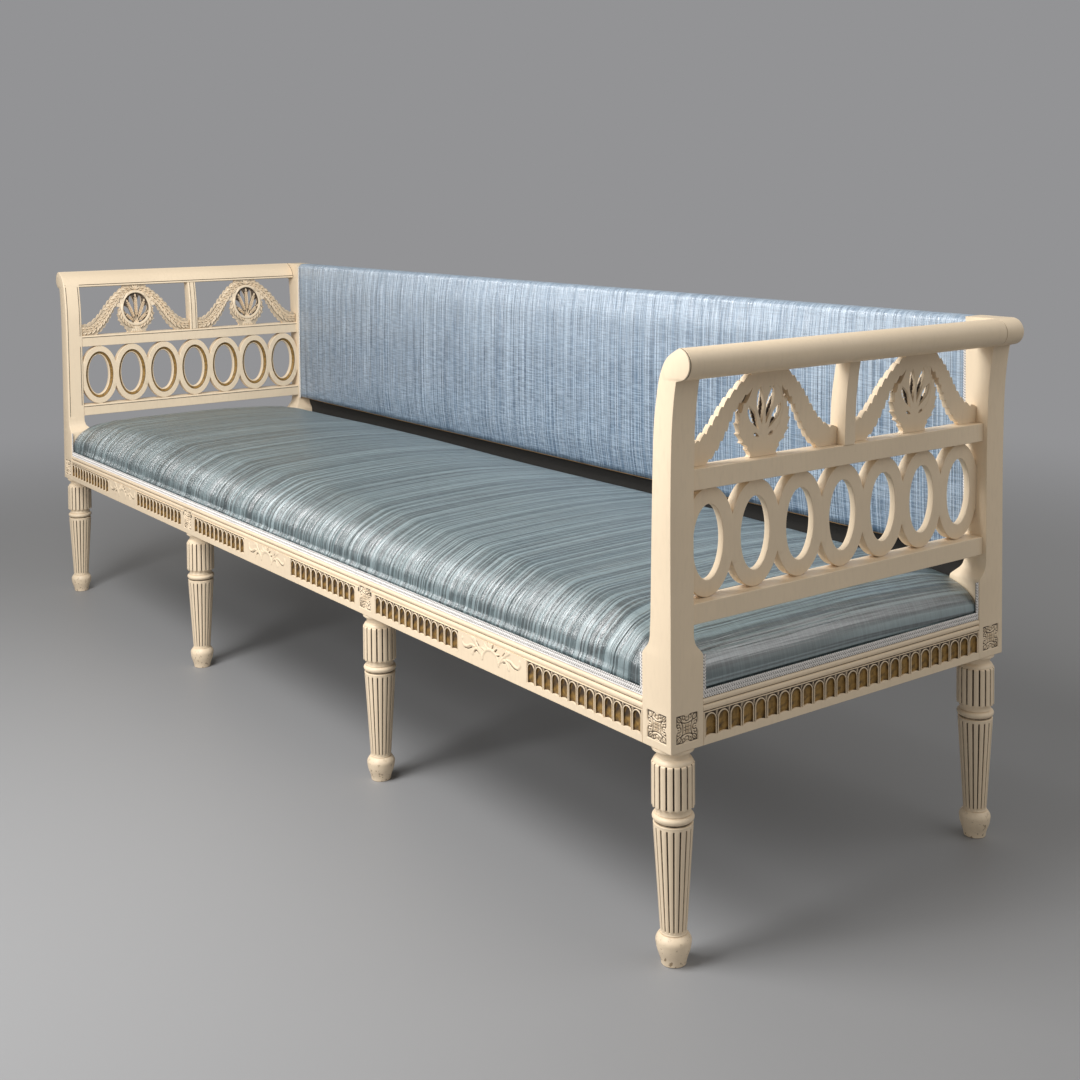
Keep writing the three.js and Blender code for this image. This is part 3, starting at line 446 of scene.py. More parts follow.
class Shell:
    """Gathers the parts of one mesh. Each point has a dark mark for the carving's hollows and for painted
    shade, gilding and a place in the cloth.
    """

    def __init__(self):
        self.points = []
        self.faces = []
        self.patina = []
        self.gilt = []
        self.cloth = []
        self.count = 0

    def add(self, points, faces, patina=0.0, gilt=0.0, cloth=None, solid=True):
        points = np.asarray(points, float).reshape(-1, 3)
        faces = [tuple(face) for face in faces]
        if solid and volume(points, faces) < 0:
            faces = [face[::-1] for face in faces]
        self.faces.extend(tuple(self.count + corner for corner in face) for face in faces)
        self.points.append(points)
        self.patina.append(spread(patina, len(points)))
        self.gilt.append(spread(gilt, len(points)))
        place = np.zeros((len(points), 3)) if cloth is None else np.asarray(cloth, float)
        self.cloth.append(place.reshape(-1, 3))
        self.count += len(points)
        return self

    def join(self, other, matrix=None):
        """Adds another shell, moved by a matrix; one that mirrors it turns its faces back out."""
        points = np.concatenate(other.points)
        faces = other.faces
        if matrix is not None:
            matrix = np.array(matrix)
            points = points @ matrix[:3, :3].T + matrix[:3, 3]
            if np.linalg.det(matrix[:3, :3]) < 0:
                faces = [face[::-1] for face in faces]
        return self.add(points, faces, np.concatenate(other.patina), np.concatenate(other.gilt),
                        np.concatenate(other.cloth), solid=False)

    def add_object(self, source):
        """Takes over the evaluated mesh of an object, and removes the object."""
        bpy.context.view_layer.update()
        graph = bpy.context.evaluated_depsgraph_get()
        mesh = bpy.data.meshes.new_from_object(source.evaluated_get(graph))
        points = read(mesh.vertices, "co", 3)
        faces = [tuple(face.vertices) for face in mesh.polygons]
        marks = [read_mark(mesh, name) for name in ("patina", "gilt")]
        self.add(points, faces, *marks, solid=False)
        bpy.data.objects.remove(source)
        return self

    def bend(self, move):
        self.points = [move(np.array(points)) for points in self.points]
        return self

    def build(self, name, material, smooth_below=SHARP):
        mesh = bpy.data.meshes.new(name)
        mesh.from_pydata(np.concatenate(self.points).tolist(), [], self.faces)
        for mark in ("patina", "gilt"):
            layer = mesh.attributes.new(mark, "FLOAT", "POINT")
            layer.data.foreach_set("value", np.concatenate(getattr(self, mark)))
        layer = mesh.attributes.new("cloth", "FLOAT_VECTOR", "POINT")
        layer.data.foreach_set("vector", np.concatenate(self.cloth).ravel())
        welded = bmesh.new()
        welded.from_mesh(mesh)
        bmesh.ops.remove_doubles(welded, verts=welded.verts, dist=MERGE)
        bmesh.ops.dissolve_degenerate(welded, edges=welded.edges, dist=MERGE)
        welded.to_mesh(mesh)
        welded.free()
        mesh.materials.append(material)
        mesh.polygons.foreach_set("use_smooth", [True] * len(mesh.polygons))
        mesh.set_sharp_from_angle(angle=smooth_below)
        made = bpy.data.objects.new(name, mesh)
        bpy.context.scene.collection.objects.link(made)
        return made


def spread(value, count):
    return np.broadcast_to(np.asarray(value, float).reshape(-1), (count,)).copy()


def read(items, name, width):
    values = np.empty(len(items) * width)
    items.foreach_get(name, values)
    return values.reshape(-1, width)


def read_mark(mesh, name):
    layer = mesh.attributes.get(name)
    if layer is None or layer.domain != "POINT":
        return 0.0
    return read(layer.data, "value", 1).ravel()


def volume(points, faces):
    """Signed volume of a closed body; below zero its faces point inwards."""
    middle = points.mean(0)
    total = 0.0
    for face in faces:
        first = points[face[0]] - middle
        for second, third in zip(face[1:-1], face[2:]):
            total += np.dot(first, np.cross(points[second] - middle, points[third] - middle))
    return total


def grid_faces(rows, columns, closed=True, capped=True):
    """Four-sided faces of a grid; closed joins its last column to the first, capped closes its ends."""
    across = columns if closed else columns - 1
    faces = [(row * columns + column, row * columns + (column + 1) % columns,
              (row + 1) * columns + (column + 1) % columns, (row + 1) * columns + column)
             for row in range(rows - 1) for column in range(across)]
    if capped:
        faces.append(tuple(reversed(range(columns))))
        faces.append(tuple(range((rows - 1) * columns, rows * columns)))
    return faces


def ramp(value, low, high):
    """0 at low, 1 at high and smooth between them."""
    share = np.clip((np.asarray(value, float) - low) / (high - low), 0, 1)
    return share * share * (3 - 2 * share)


def smooth_line(knots, steps=10):
    """Points of a smooth curve through the knots."""
    knots = np.asarray(knots, float)
    ends = np.vstack([knots[:1], knots, knots[-1:]])
    share = (np.arange(steps) / steps)[:, None]
    parts = []
    for before, start, stop, after in zip(ends, ends[1:], ends[2:], ends[3:]):
        leave = (stop - before) / 2
        arrive = (after - start) / 2
        cubic = 2 * start - 2 * stop + leave + arrive
        square = -3 * start + 3 * stop - 2 * leave - arrive
        parts.append(((cubic * share + square) * share + leave) * share + start)
    return np.vstack([*parts, knots[-1:]])


def evenly(points, gap):
    """The line sampled again at about even gaps."""
    steps = np.linalg.norm(np.diff(points, axis=0), axis=1)
    along = np.concatenate([[0], np.cumsum(steps)])
    at = np.linspace(0, along[-1], max(2, int(round(along[-1] / gap)) + 1))
    return np.column_stack([np.interp(at, along, column) for column in points.T])


def sides_of(faces):
    """Each side of each face as (start, stop), in order and once each."""
    return dict.fromkeys((start, stop) for face in faces
                         for start, stop in zip(face, (*face[1:], face[0])))


INNER_LINE = smooth_line(INNER_SHARES)
OUTER_LINE = smooth_line(OUTER_SHARES)
TAPER_LINE = smooth_line(TAPER_SHARES)
UNDERCUT_ANGLE = math.pi * 0.39
UNDERCUT_REACH = SCROLL_RADIUS * math.cos(UNDERCUT_ANGLE)
UNDERCUT_Z = SCROLL_Z - SCROLL_RADIUS * math.sin(UNDERCUT_ANGLE)


def inner_at(height):
    """X of the inside of an arm, which sweeps outwards as it rises."""
    share = (np.asarray(height, float) - TAPER_TOP) / (TOP - TAPER_TOP)
    reach = np.interp(share, INNER_LINE[:, 0], INNER_LINE[:, 1])
    return HALF_LENGTH - UPRIGHT + (UPRIGHT + SCROLL_REACH) * reach


def outer_at(height):
    """X of the outside of a post, from the plumb block to the scroll at its head."""
    height = np.asarray(height, float)
    share = (height - TAPER_TOP) / (NOTCH_Z - TAPER_TOP)
    plain = HALF_LENGTH + NOTCH_REACH * np.interp(share, OUTER_LINE[:, 0], OUTER_LINE[:, 1])
    rise = np.clip((height - SCROLL_Z) / SCROLL_RADIUS, -1, 1)
    head = SCROLL_X + SCROLL_RADIUS * np.sqrt(1 - rise * rise)
    eased = np.interp(height, [NOTCH_Z, UNDERCUT_Z],
                      [HALF_LENGTH + NOTCH_REACH, SCROLL_X + UNDERCUT_REACH])
    return np.where(height < NOTCH_Z, plain, np.where(height < UNDERCUT_Z, eased, head))


def dress(piece, slot, *nodes):
    """Puts a finished piece on the frame in place of its nodes."""
    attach(piece, "root")
    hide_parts(*nodes)
    return piece


def side_matrix(outwards, reach, base):
    """Frame of one side of the sofa: along it, up from a base, and outwards from its face."""
    out = Vector(outwards)
    up = Vector((0, 0, 1))
    along = up.cross(out)
    origin = out * reach + up * base
    return Matrix([(along[i], up[i], out[i], origin[i]) for i in range(3)] + [(0, 0, 0, 1)])


SIDES = {
    "front": ((0, -1, 0), HALF_DEPTH),
    "back": ((0, 1, 0), HALF_DEPTH),
    "right": ((1, 0, 0), HALF_LENGTH),
    "left": ((-1, 0, 0), HALF_LENGTH),
}
HANDS = {"right": Matrix.Identity(4), "left": Matrix.Diagonal((-1, 1, 1, 1))}


def place_painted(shell, matrix, node, verb):
    """Builds a painted shell where its node stands, and puts it on the frame."""
    piece = Shell().join(shell, matrix).build(f"{node}_{verb}", cream_paint())
    return dress(piece, "painted_wood", node)


def place_hands(shells, verb):
    """Places painted shells on the right, and mirrored on the left; {} in a key stands for the hand."""
    for hand, matrix in HANDS.items():
        for node, shell in shells.items():
            place_painted(shell, matrix, node.format(hand), verb)


# Geometry Nodes that set out copies of a small piece.
def new_tree(name, sockets):
    tree = bpy.data.node_groups.new(name, "GeometryNodeTree")
    tree.interface.new_socket("Geometry", in_out="INPUT", socket_type="NodeSocketGeometry")
    for label, kind in sockets:
        tree.interface.new_socket(label, in_out="INPUT", socket_type=kind)
    tree.interface.new_socket("Geometry", in_out="OUTPUT", socket_type="NodeSocketGeometry")
    return tree


def wire(tree, kind, settings=None, inputs=None):
    node = tree.nodes.new(kind)
    for name, value in (settings or {}).items():
        setattr(node, name, value)
    for name, value in (inputs or {}).items():
        if isinstance(value, bpy.types.NodeSocket):
            tree.links.new(value, node.inputs[name])
        else:
            node.inputs[name].default_value = value
    return node


def copies_tree(name, sockets, layout):
    """A tree of copies on points, made real and finished; layout gives points, turns and sizes."""
    found = bpy.data.node_groups.get(name)
    if found:
        return found
    tree = new_tree(name, [("Copy", "NodeSocketObject"), ("Finish", "NodeSocketMaterial"), *sockets])
    given = wire(tree, "NodeGroupInput").outputs
    copy = wire(tree, "GeometryNodeObjectInfo", None, {"Object": given["Copy"]})
    copies = wire(tree, "GeometryNodeInstanceOnPoints", None,
                  {"Instance": copy.outputs["Geometry"], **layout(tree, given)})
    real = wire(tree, "GeometryNodeRealizeInstances", None, {"Geometry": copies.outputs[0]})
    painted = wire(tree, "GeometryNodeSetMaterial", None,
                   {"Geometry": real.outputs[0], "Material": given["Finish"]})
    wire(tree, "NodeGroupOutput", None, {0: painted.outputs[0]})
    return tree


def row_tree():
    """A straight row: a number of copies, a pitch apart, from a start."""
    def layout(tree, given):
        line = wire(tree, "GeometryNodeMeshLine", {"mode": "OFFSET"},
                    {"Count": given["Count"], "Start Location": given["Start"],
                     "Offset": given["Pitch"]})
        return {"Points": line.outputs[0], "Rotation": given["Turn"]}

    sockets = [("Count", "NodeSocketInt"), ("Start", "NodeSocketVector"), ("Pitch", "NodeSocketVector"),
               ("Turn", "NodeSocketRotation")]
    return copies_tree("Row of copies", sockets, layout)


def scatter_tree():
    """One copy on each point, turned and sized as the point's own attributes say."""
    def layout(tree, given):
        turn, size = (wire(tree, "GeometryNodeInputNamedAttribute", {"data_type": "FLOAT_VECTOR"},
                           {"Name": name}).outputs[0] for name in ("turn", "size"))
        rotation = wire(tree, "FunctionNodeEulerToRotation", None, {0: turn})
        sized = wire(tree, "ShaderNodeVectorMath", {"operation": "SCALE"},
                     {0: size, "Scale": given["Size"]})
        return {"Points": given["Geometry"], "Rotation": rotation.outputs[0], "Scale": sized.outputs[0]}

    return copies_tree("Copies on points", [("Size", "NodeSocketFloat")], layout)


def run_tree(carrier, tree, values):
    modifier = carrier.modifiers.new("Copies", "NODES")
    modifier.node_group = tree
    for item in tree.interface.items_tree:
        if item.in_out == "INPUT" and item.name in values:
            modifier[item.identifier] = values[item.name]
    return carrier


def bare_object(name, points=()):
    mesh = bpy.data.meshes.new(name)
    mesh.from_pydata([tuple(point) for point in points], [], [])
    made = bpy.data.objects.new(name, mesh)
    bpy.context.scene.collection.objects.link(made)
    return made


def row(shell, pattern, material, count, start, pitch, turn=(0, 0, 0)):
    """Adds a straight row of copies of a pattern shell."""
    copy = pattern.build("pattern", material)
    carrier = run_tree(bare_object("row"), row_tree(), {
        "Copy": copy, "Finish": material, "Count": count, "Start": start, "Pitch": pitch, "Turn": turn})
    shell.add_object(carrier)
    bpy.data.objects.remove(copy)
    return shell


def scatter(shell, pattern, material, places):
    """Adds one copy of a pattern at each (point, turn, size)."""
    copy = pattern.build("pattern", material)
    carrier = bare_object("scatter", [place for place, _, _ in places])
    for name, column in (("turn", 1), ("size", 2)):
        layer = carrier.data.attributes.new(name, "FLOAT_VECTOR", "POINT")
        layer.data.foreach_set("vector", np.array([entry[column] for entry in places], float).ravel())
    run_tree(carrier, scatter_tree(), {"Copy": copy, "Finish": material, "Size": 1.0})
    shell.add_object(carrier)
    bpy.data.objects.remove(copy)
    return shell


def cut_pockets(shell, boxes, material):
    """Cuts boxes, each given by two corners, out of a shell."""
    body = shell.build("body", material)
    cutter_shell = Shell()
    for low, high in boxes:
        corners = [[(low, high)[x][0], (low, high)[y][1], (low, high)[z][2]]
                   for x in (0, 1) for y in (0, 1) for z in (0, 1)]
        faces = [(0, 1, 3, 2), (4, 6, 7, 5), (0, 4, 5, 1), (2, 3, 7, 6), (0, 2, 6, 4), (1, 5, 7, 3)]
        cutter_shell.add(corners, faces)
    cutter = cutter_shell.build("cutter", material)
    modifier = body.modifiers.new("Pockets", "BOOLEAN")
    modifier.operation = "DIFFERENCE"
    modifier.solver = "EXACT"
    modifier.object = cutter
    result = Shell().add_object(body)
    bpy.data.objects.remove(cutter)
    return result


# Turned and fluted legs.
FOOT_RADIUS = 0.0165
STEP_RADIUS = 0.0196
BULB_RADIUS = 0.0234
FOOT_TOP_RADIUS = 0.0186
ANKLE_RADIUS = 0.0174
SHAFT_TOP_RADIUS = 0.0264
GROOVE_RADIUS = 0.0228
TORUS_RADIUS = 0.0278
WAIST_RADIUS = 0.0232
DRUM_RADIUS = 0.0280
NECK_RADIUS = 0.0218
COLLAR_RADIUS = 0.0278
STEP_HEIGHT = 0.0130
BULB_HEIGHT = 0.0275
FOOT_HEIGHT = 0.0410
ANKLE_BAND = 0.0050
RIM_BAND = 0.0046
GROOVE_HEIGHT = 0.0024
TORUS_HEIGHT = 0.0096
WAIST_HEIGHT = 0.0088
DRUM_HEIGHT = 0.0580
SHOULDER_HEIGHT = 0.0075
COLLAR_FLARE = 0.0100
COLLAR_HEIGHT = 0.0040
SCALLOP = 0.0022
GROOVE_DIRT = 0.6
FLUTE_STEPS = [-0.5, -0.31, -0.145, -0.105, -0.05, 0, 0.05, 0.105, 0.145, 0.31]
FLUTE_DEPTHS = [-0.16, -0.10, 0, 0.75, 0.97, 1, 0.97, 0.75, 0, -0.10]


def arc_up(start, stop, bulge, steps):
    """Points from one (height, radius) to another along a bulge (out above zero, in below)."""
    share = np.linspace(0, 1, steps + 1)
    swell = np.sin(math.pi * share) * bulge
    return [(start[0] + (stop[0] - start[0]) * s, start[1] + (stop[1] - start[1]) * s + out)
            for s, out in zip(share, swell)]


def half_round(base, top, radius, out, steps=8):
    """A rounded moulding that stands out from a radius."""
    middle, half = (base + top) / 2, (top - base) / 2
    return [(middle - half * math.cos(math.pi * s / steps), radius + out * math.sin(math.pi * s / steps))
            for s in range(steps + 1)]


DRUM_TOP = RAIL_BASE - COLLAR_HEIGHT - COLLAR_FLARE - SHOULDER_HEIGHT
DRUM_BASE = DRUM_TOP - DRUM_HEIGHT
TORUS_TOP = DRUM_BASE - WAIST_HEIGHT
TORUS_BASE = TORUS_TOP - TORUS_HEIGHT
SHAFT_TOP = TORUS_BASE - GROOVE_HEIGHT
ANKLE = FOOT_HEIGHT + ANKLE_BAND


def plain_rows(line):
    """Rows of a leg without flutes or scallops."""
    return [(height, radius, 0, 0) for height, radius in line]


def shaft_radius(height):
    return ANKLE_RADIUS + (SHAFT_TOP_RADIUS - ANKLE_RADIUS) * (height - ANKLE) / (SHAFT_TOP - ANKLE)


def leg_profile():
    """(height, radius, flute share, scallop share) up a leg."""
    foot = [(0, FOOT_RADIUS - EDGE * 2), (EDGE, FOOT_RADIUS)]
    foot += arc_up((EDGE, FOOT_RADIUS), (STEP_HEIGHT, STEP_RADIUS), -0.0004, 5)[1:]
    foot += arc_up((STEP_HEIGHT, STEP_RADIUS), (BULB_HEIGHT, BULB_RADIUS), 0.0006, 6)[1:]
    foot += arc_up((BULB_HEIGHT, BULB_RADIUS), (FOOT_HEIGHT, FOOT_TOP_RADIUS), 0.0022, 9)[1:]
    foot += half_round(FOOT_HEIGHT, FOOT_HEIGHT + ANKLE_BAND / 2, ANKLE_RADIUS, 0.0006, 4)
    steps = 22
    rim = SHAFT_TOP - RIM_BAND
    fluted = [ANKLE, ANKLE + EDGE, *np.linspace(ANKLE + EDGE * 3, rim - EDGE * 3, steps), rim - EDGE, rim]
    shares = [0, 0.55, *[1] * steps, 0.55, 0]
    waist = [(SHAFT_TOP - EDGE, SHAFT_TOP_RADIUS), (SHAFT_TOP, SHAFT_TOP_RADIUS - EDGE),
             (SHAFT_TOP + EDGE / 2, GROOVE_RADIUS), (TORUS_BASE - EDGE / 2, GROOVE_RADIUS)]
    waist += half_round(TORUS_BASE, TORUS_TOP, GROOVE_RADIUS, TORUS_RADIUS - GROOVE_RADIUS, 12)
    waist += arc_up((TORUS_TOP + EDGE, WAIST_RADIUS + EDGE), (DRUM_BASE - EDGE, WAIST_RADIUS), -0.0008, 6)
    drum = [(DRUM_BASE, WAIST_RADIUS + EDGE, 0, 0.3), (DRUM_BASE, DRUM_RADIUS - EDGE * 2, 0.4, 1),
            (DRUM_BASE + EDGE / 2, DRUM_RADIUS - EDGE / 3, 0.8, 1),
            (DRUM_BASE + EDGE * 2, DRUM_RADIUS, 1, 0.8), (DRUM_BASE + EDGE * 6, DRUM_RADIUS, 1, 0.3)]
    drum += [(height, DRUM_RADIUS, 1, 0)
             for height in np.linspace(DRUM_BASE + EDGE * 9, DRUM_TOP - EDGE * 4, 10)]
    drum += [(DRUM_TOP - EDGE, DRUM_RADIUS, 1, 0), (DRUM_TOP, DRUM_RADIUS - EDGE * 0.4, 0.85, 0),
             (DRUM_TOP + EDGE * 0.6, DRUM_RADIUS - EDGE * 1.2, 0.5, 0)]
    neck = DRUM_TOP + SHOULDER_HEIGHT
    collar = RAIL_BASE - COLLAR_HEIGHT
    head = arc_up((DRUM_TOP + EDGE, DRUM_RADIUS - EDGE * 2.2), (neck, NECK_RADIUS), 0.0013, 7)
    head += arc_up((neck + EDGE * 2, NECK_RADIUS - EDGE / 3), (collar, COLLAR_RADIUS), -0.0018, 9)
    head += [(RAIL_BASE - COLLAR_HEIGHT / 2, COLLAR_RADIUS + EDGE / 2),
             (RAIL_BASE - EDGE / 2, COLLAR_RADIUS)]
    shaft = [(height, shaft_radius(height), share, 0) for height, share in zip(fluted, shares)]
    return [*plain_rows(foot), *shaft, *plain_rows(waist), *drum, *plain_rows(head)]


def leg_shell():
    flutes = carving().flute_count
    depth = carving().flute_depth
    shares = np.tile(FLUTE_STEPS, flutes) + np.repeat(np.arange(flutes), len(FLUTE_STEPS))
    angles = shares * math.tau / flutes
    grooves = np.tile(FLUTE_DEPTHS, flutes)
    reach = np.abs(np.tile(FLUTE_STEPS, flutes)) * 2
    lift = SCALLOP * np.sqrt(np.clip(1 - reach, 0, 1))
    rows = leg_profile()
    rings, dirt = [], []
    for height, radius, flute, scallop in rows:
        out = radius - depth * grooves * flute
        rings.append(np.column_stack([out * np.cos(angles), out * np.sin(angles),
                                      height + lift * scallop]))
        in_groove = SHAFT_TOP < height < TORUS_BASE + EDGE / 10 and flute == 0
        dirt.append(np.clip(grooves, 0, 1) * flute + GROOVE_DIRT * in_groove)
    return Shell().add(np.array(rings), grid_faces(len(rows), len(angles)), np.array(dirt))


# Posts and stiles: sections with a bead and a quirk along the edges of their inner face.
def quirked_section(width_out, depth_along, bead_near, bead_far, seam):
    """(along, into the wood, dirt) round a rectangular section, starting at its near inner corner."""
    half = min(width_out, depth_along) * 0.45
    points = []

    def corner(at, radius, start, dirt=0.0):
        for step in range(4):
            angle = start + math.pi / 2 * step / 3
            points.append((at[0] + radius * math.cos(angle), at[1] + radius * math.sin(angle), dirt))

    near = min(half, EDGE + (CORNER_BEAD - EDGE) * bead_near)
    far = min(half, EDGE + (CORNER_BEAD - EDGE) * bead_far)
    plain = min(half, EDGE)
    fits = min(1.0, half / (BEAD_WIDTH + QUIRK_WIDTH))
    corner((near, near), near, math.pi)
    edges = [0.0, QUIRK_WIDTH * 0.2, QUIRK_WIDTH * 0.7, QUIRK_WIDTH]
    drops = [0.0, 1.0, 1.0, 0.0]
    for edge, drop in zip(edges, drops):
        points.append((BEAD_WIDTH + edge, QUIRK_DEPTH * drop * bead_near * fits, drop * bead_near))
    for edge, drop in zip(reversed(edges), reversed(drops)):
        points.append((depth_along - BEAD_WIDTH - edge, QUIRK_DEPTH * drop * bead_far * fits,
                       drop * bead_far))
    corner((depth_along - far, far), far, math.pi * 1.5)
    flush = plain * (1 - seam * 0.9)
    corner((depth_along - flush, width_out - flush), flush, 0)
    for edge, drop in zip(reversed(edges), drops):
        points.append((SEAM_SET + edge, width_out - QUIRK_DEPTH * 0.6 * drop * seam * fits,
                       drop * seam))
    corner((plain, width_out - plain), plain, math.pi / 2)
    return np.array(points)


def upright_shell(heights, inner, outer, near, far, bead_near, bead_far, seam=None, crown=False):
    """An upright whose faces move with height; near and far are the y of its two inner edges."""
    rings, dirt = [], []
    for height in heights:
        x_in, x_out = inner(height), outer(height)
        y_near, y_far = near(height), far(height)
        towards = 1 if y_far > y_near else -1
        section = quirked_section(max(x_out - x_in, EDGE / 5), abs(y_far - y_near),
                                  bead_near(height), bead_far(height), seam(height) if seam else 0.0)
        rings.append(np.column_stack([x_in + section[:, 1], y_near + towards * section[:, 0],
                                      np.full(len(section), height)]))
        dirt.append(section[:, 2])
    if crown:
        top = rings[-1].copy()
        top[:, 0] = top[:, 0].mean()
        top[:, 2] = TOP
        rings.append(top)
        dirt.append(dirt[-1])
    rings = np.array(rings)
    return Shell().add(rings, grid_faces(len(rings), rings.shape[1]), np.array(dirt))


def taper_at(height):
    """0 on the block and 1 on the upright."""
    return float(np.interp((height - BLOCK_TOP) / TAPER_HEIGHT, TAPER_LINE[:, 0], TAPER_LINE[:, 1]))


BEAD_FADE = 0.0012


def window(low, high):
    """1 between two heights and 0 beyond them, with a short fade."""
    return lambda height: float(ramp(height, low - BEAD_FADE, low)
                                * (1 - ramp(height, high, high + BEAD_FADE)))


def post_heights(swept):
    block = [RAIL_BASE, RAIL_BASE + EDGE / 2, RAIL_BASE + EDGE,
             *np.linspace(RAIL_BASE + 0.006, BLOCK_TOP, 5)]
    taper = np.linspace(BLOCK_TOP, TAPER_TOP, 15)[1:]
    joints = [LOWER_HIGH.z - BEAD_FADE, LOWER_HIGH.z, MID_LOW.z, MID_LOW.z + BEAD_FADE,
              MID_HIGH.z - BEAD_FADE, MID_HIGH.z, CREST_BASE, CREST_BASE + BEAD_FADE]
    upright = np.linspace(TAPER_TOP, NOTCH_Z, 26)[1:]
    head = [UNDERCUT_Z, *(SCROLL_Z - SCROLL_RADIUS * np.cos(np.linspace(0.62, math.pi, 20)))]
    if swept:
        head = head[:-1]
    return sorted({round(float(height), 6) for height in [*block, *taper, *joints, *upright, *head]})


def post_shell(front):
    side = -1 if front else 1

    def block_edge(height):
        return min(EDGE, max(0.0, RAIL_BASE + EDGE - height))

    def plumb_inner(height):
        return HALF_LENGTH - BLOCK + (BLOCK - UPRIGHT) * taper_at(height) + block_edge(height)

    def inner(height):
        if front and height > TAPER_TOP:
            return float(inner_at(height))
        return plumb_inner(height)

    def outer(height):
        return float(outer_at(height)) - block_edge(height)

    def near(height):
        return side * (HALF_DEPTH - block_edge(height))

    def far(height):
        depth = BLOCK + (UPRIGHT_DEPTH - BLOCK) * taper_at(height)
        return side * (HALF_DEPTH - depth + block_edge(height))

    def face_bead(height):
        return float(ramp(height, TAPER_TOP - 0.006, TAPER_TOP + 0.004)) if front else 0.0

    lower = window(LOWER_HIGH.z, MID_LOW.z)
    upper = window(MID_HIGH.z, CREST_BASE)

    def opening_bead(height):
        return max(lower(height), upper(height))

    def head_seam(height):
        return float(ramp(height, NOTCH_Z, UNDERCUT_Z)) if front else 0.0

    return upright_shell(post_heights(front), inner, outer, near, far, face_bead, opening_bead,
                         head_seam, front)


# Low carving: a height field cut from a flat face.
ROSETTE = 0.038
ROSETTE_RISE = 0.029
ROSETTE_DEPTH = 0.0019
ROSETTE_STEP = 0.00046
SPRIG_WIDTH = 0.166
SPRIG_HEIGHT = 0.036
SPRIG_STEP = 0.00085
POCKET_DEPTH = 0.006


def ridge(across, up, line, radii):
    """1 on a tapering stroke's spine, falling to 0 at its edge."""
    line = np.asarray(line, float)
    radii = np.linspace(*radii, len(line))
    best = np.zeros_like(across)
    for (start, stop), (wide, thin) in zip(zip(line, line[1:]), zip(radii, radii[1:])):
        run = stop - start
        share = ((across - start[0]) * run[0] + (up - start[1]) * run[1]) / max(np.dot(run, run), 1e-12)
        share = np.clip(share, 0, 1)
        gap = np.hypot(across - start[0] - share * run[0], up - start[1] - share * run[1])
        best = np.maximum(best, 1 - np.clip(gap / (wide + (thin - wide) * share), 0, 1) ** 2)
    return best


# Cut lines of a rosette's eighth in shares of half its width: its core, leaf, bud, curl and border.
ROSETTE_CUTS = [([(0.36, 0), (0.375, 0.2), (0.43, 0.38), (0.54, 0.54)], 0.075),
                ([(0.54, 0.54), (0.67, 0.49), (0.82, 0.58), (0.92, 0.80)], 0.075),
                ([(0.62, 0.62), (0.76, 0.76), (0.86, 0.87)], 0.045),
                ([(0.52, 0), (0.56, 0.13), (0.68, 0.19), (0.82, 0.15)], 0.075),
                ([(0.82, 0.15), (0.90, 0.27), (0.84, 0.40), (0.70, 0.38), (0.62, 0.29)], 0.065),
                ([(0.93, 0.34), (0.92, 0.62), (0.92, 0.92)], 0.060),
                ([(0.74, 0), (0.79, 0)], 0.075),
                ([(0, 0.10), (0.27, 0.11)], 0.045)]
ROSETTE_GRID = [([(0, 0), (0, 0.28)], 0.040), ([(0.17, 0), (0.18, 0.30)], 0.045)]


def rosette_height(across, up):
    """Height of a sunk rosette, near 0 along its cuts and 1 at the face, over a square field."""
    x, y = np.abs(across) * 2 / ROSETTE, np.abs(up) * 2 / ROSETTE
    cuts = [ridge(*place, line, (wide, wide)) for line, wide in ROSETTE_CUTS
            for place in ((x, y), (y, x))]
    cuts += [ridge(x, y, line, (wide, wide)) * 0.8 for line, wide in ROSETTE_GRID]
    dome = 1 - 0.22 * ramp(np.hypot(x, y), 0.2, 1.2)
    rim = ramp(np.maximum(x, y), 0.96, 0.99)
    return np.maximum(dome * (1 - 0.92 * np.maximum.reduce(cuts)), rim)


SPRIG_ARCH = [(-0.0215, -0.010), (-0.0185, -0.002), (-0.011, 0.0055), (0, 0.008), (0.011, 0.0055),
              (0.0185, -0.002), (0.0215, -0.010)]
SPRIG_STEM = [(0.0215, -0.0095), (0.0285, 0.0005), (0.038, 0.0085), (0.049, 0.0150)]
SPRIG_LEAF = [(0.0285, -0.003), (0.036, 0.0015), (0.043, -0.002), (0.0475, -0.0095)]
SPRIG_BUD = [(0.038, 0.0055), (0.0395, 0.0120), (0.0435, 0.0160)]
SPRIG_CURL = [(0.041, 0.0035), (0.052, 0.0035), (0.062, -0.001), (0.071, -0.0015), (0.0765, 0.004),
              (0.0755, 0.009)]
SPRIG_CUTS = [[(0.031, 0.0065), (0.037, 0.0125)], [(0.050, 0.0000), (0.060, -0.0045), (0.070, -0.0050)],
              [(0.0335, -0.0035), (0.0385, -0.0020), (0.0425, -0.0060)]]


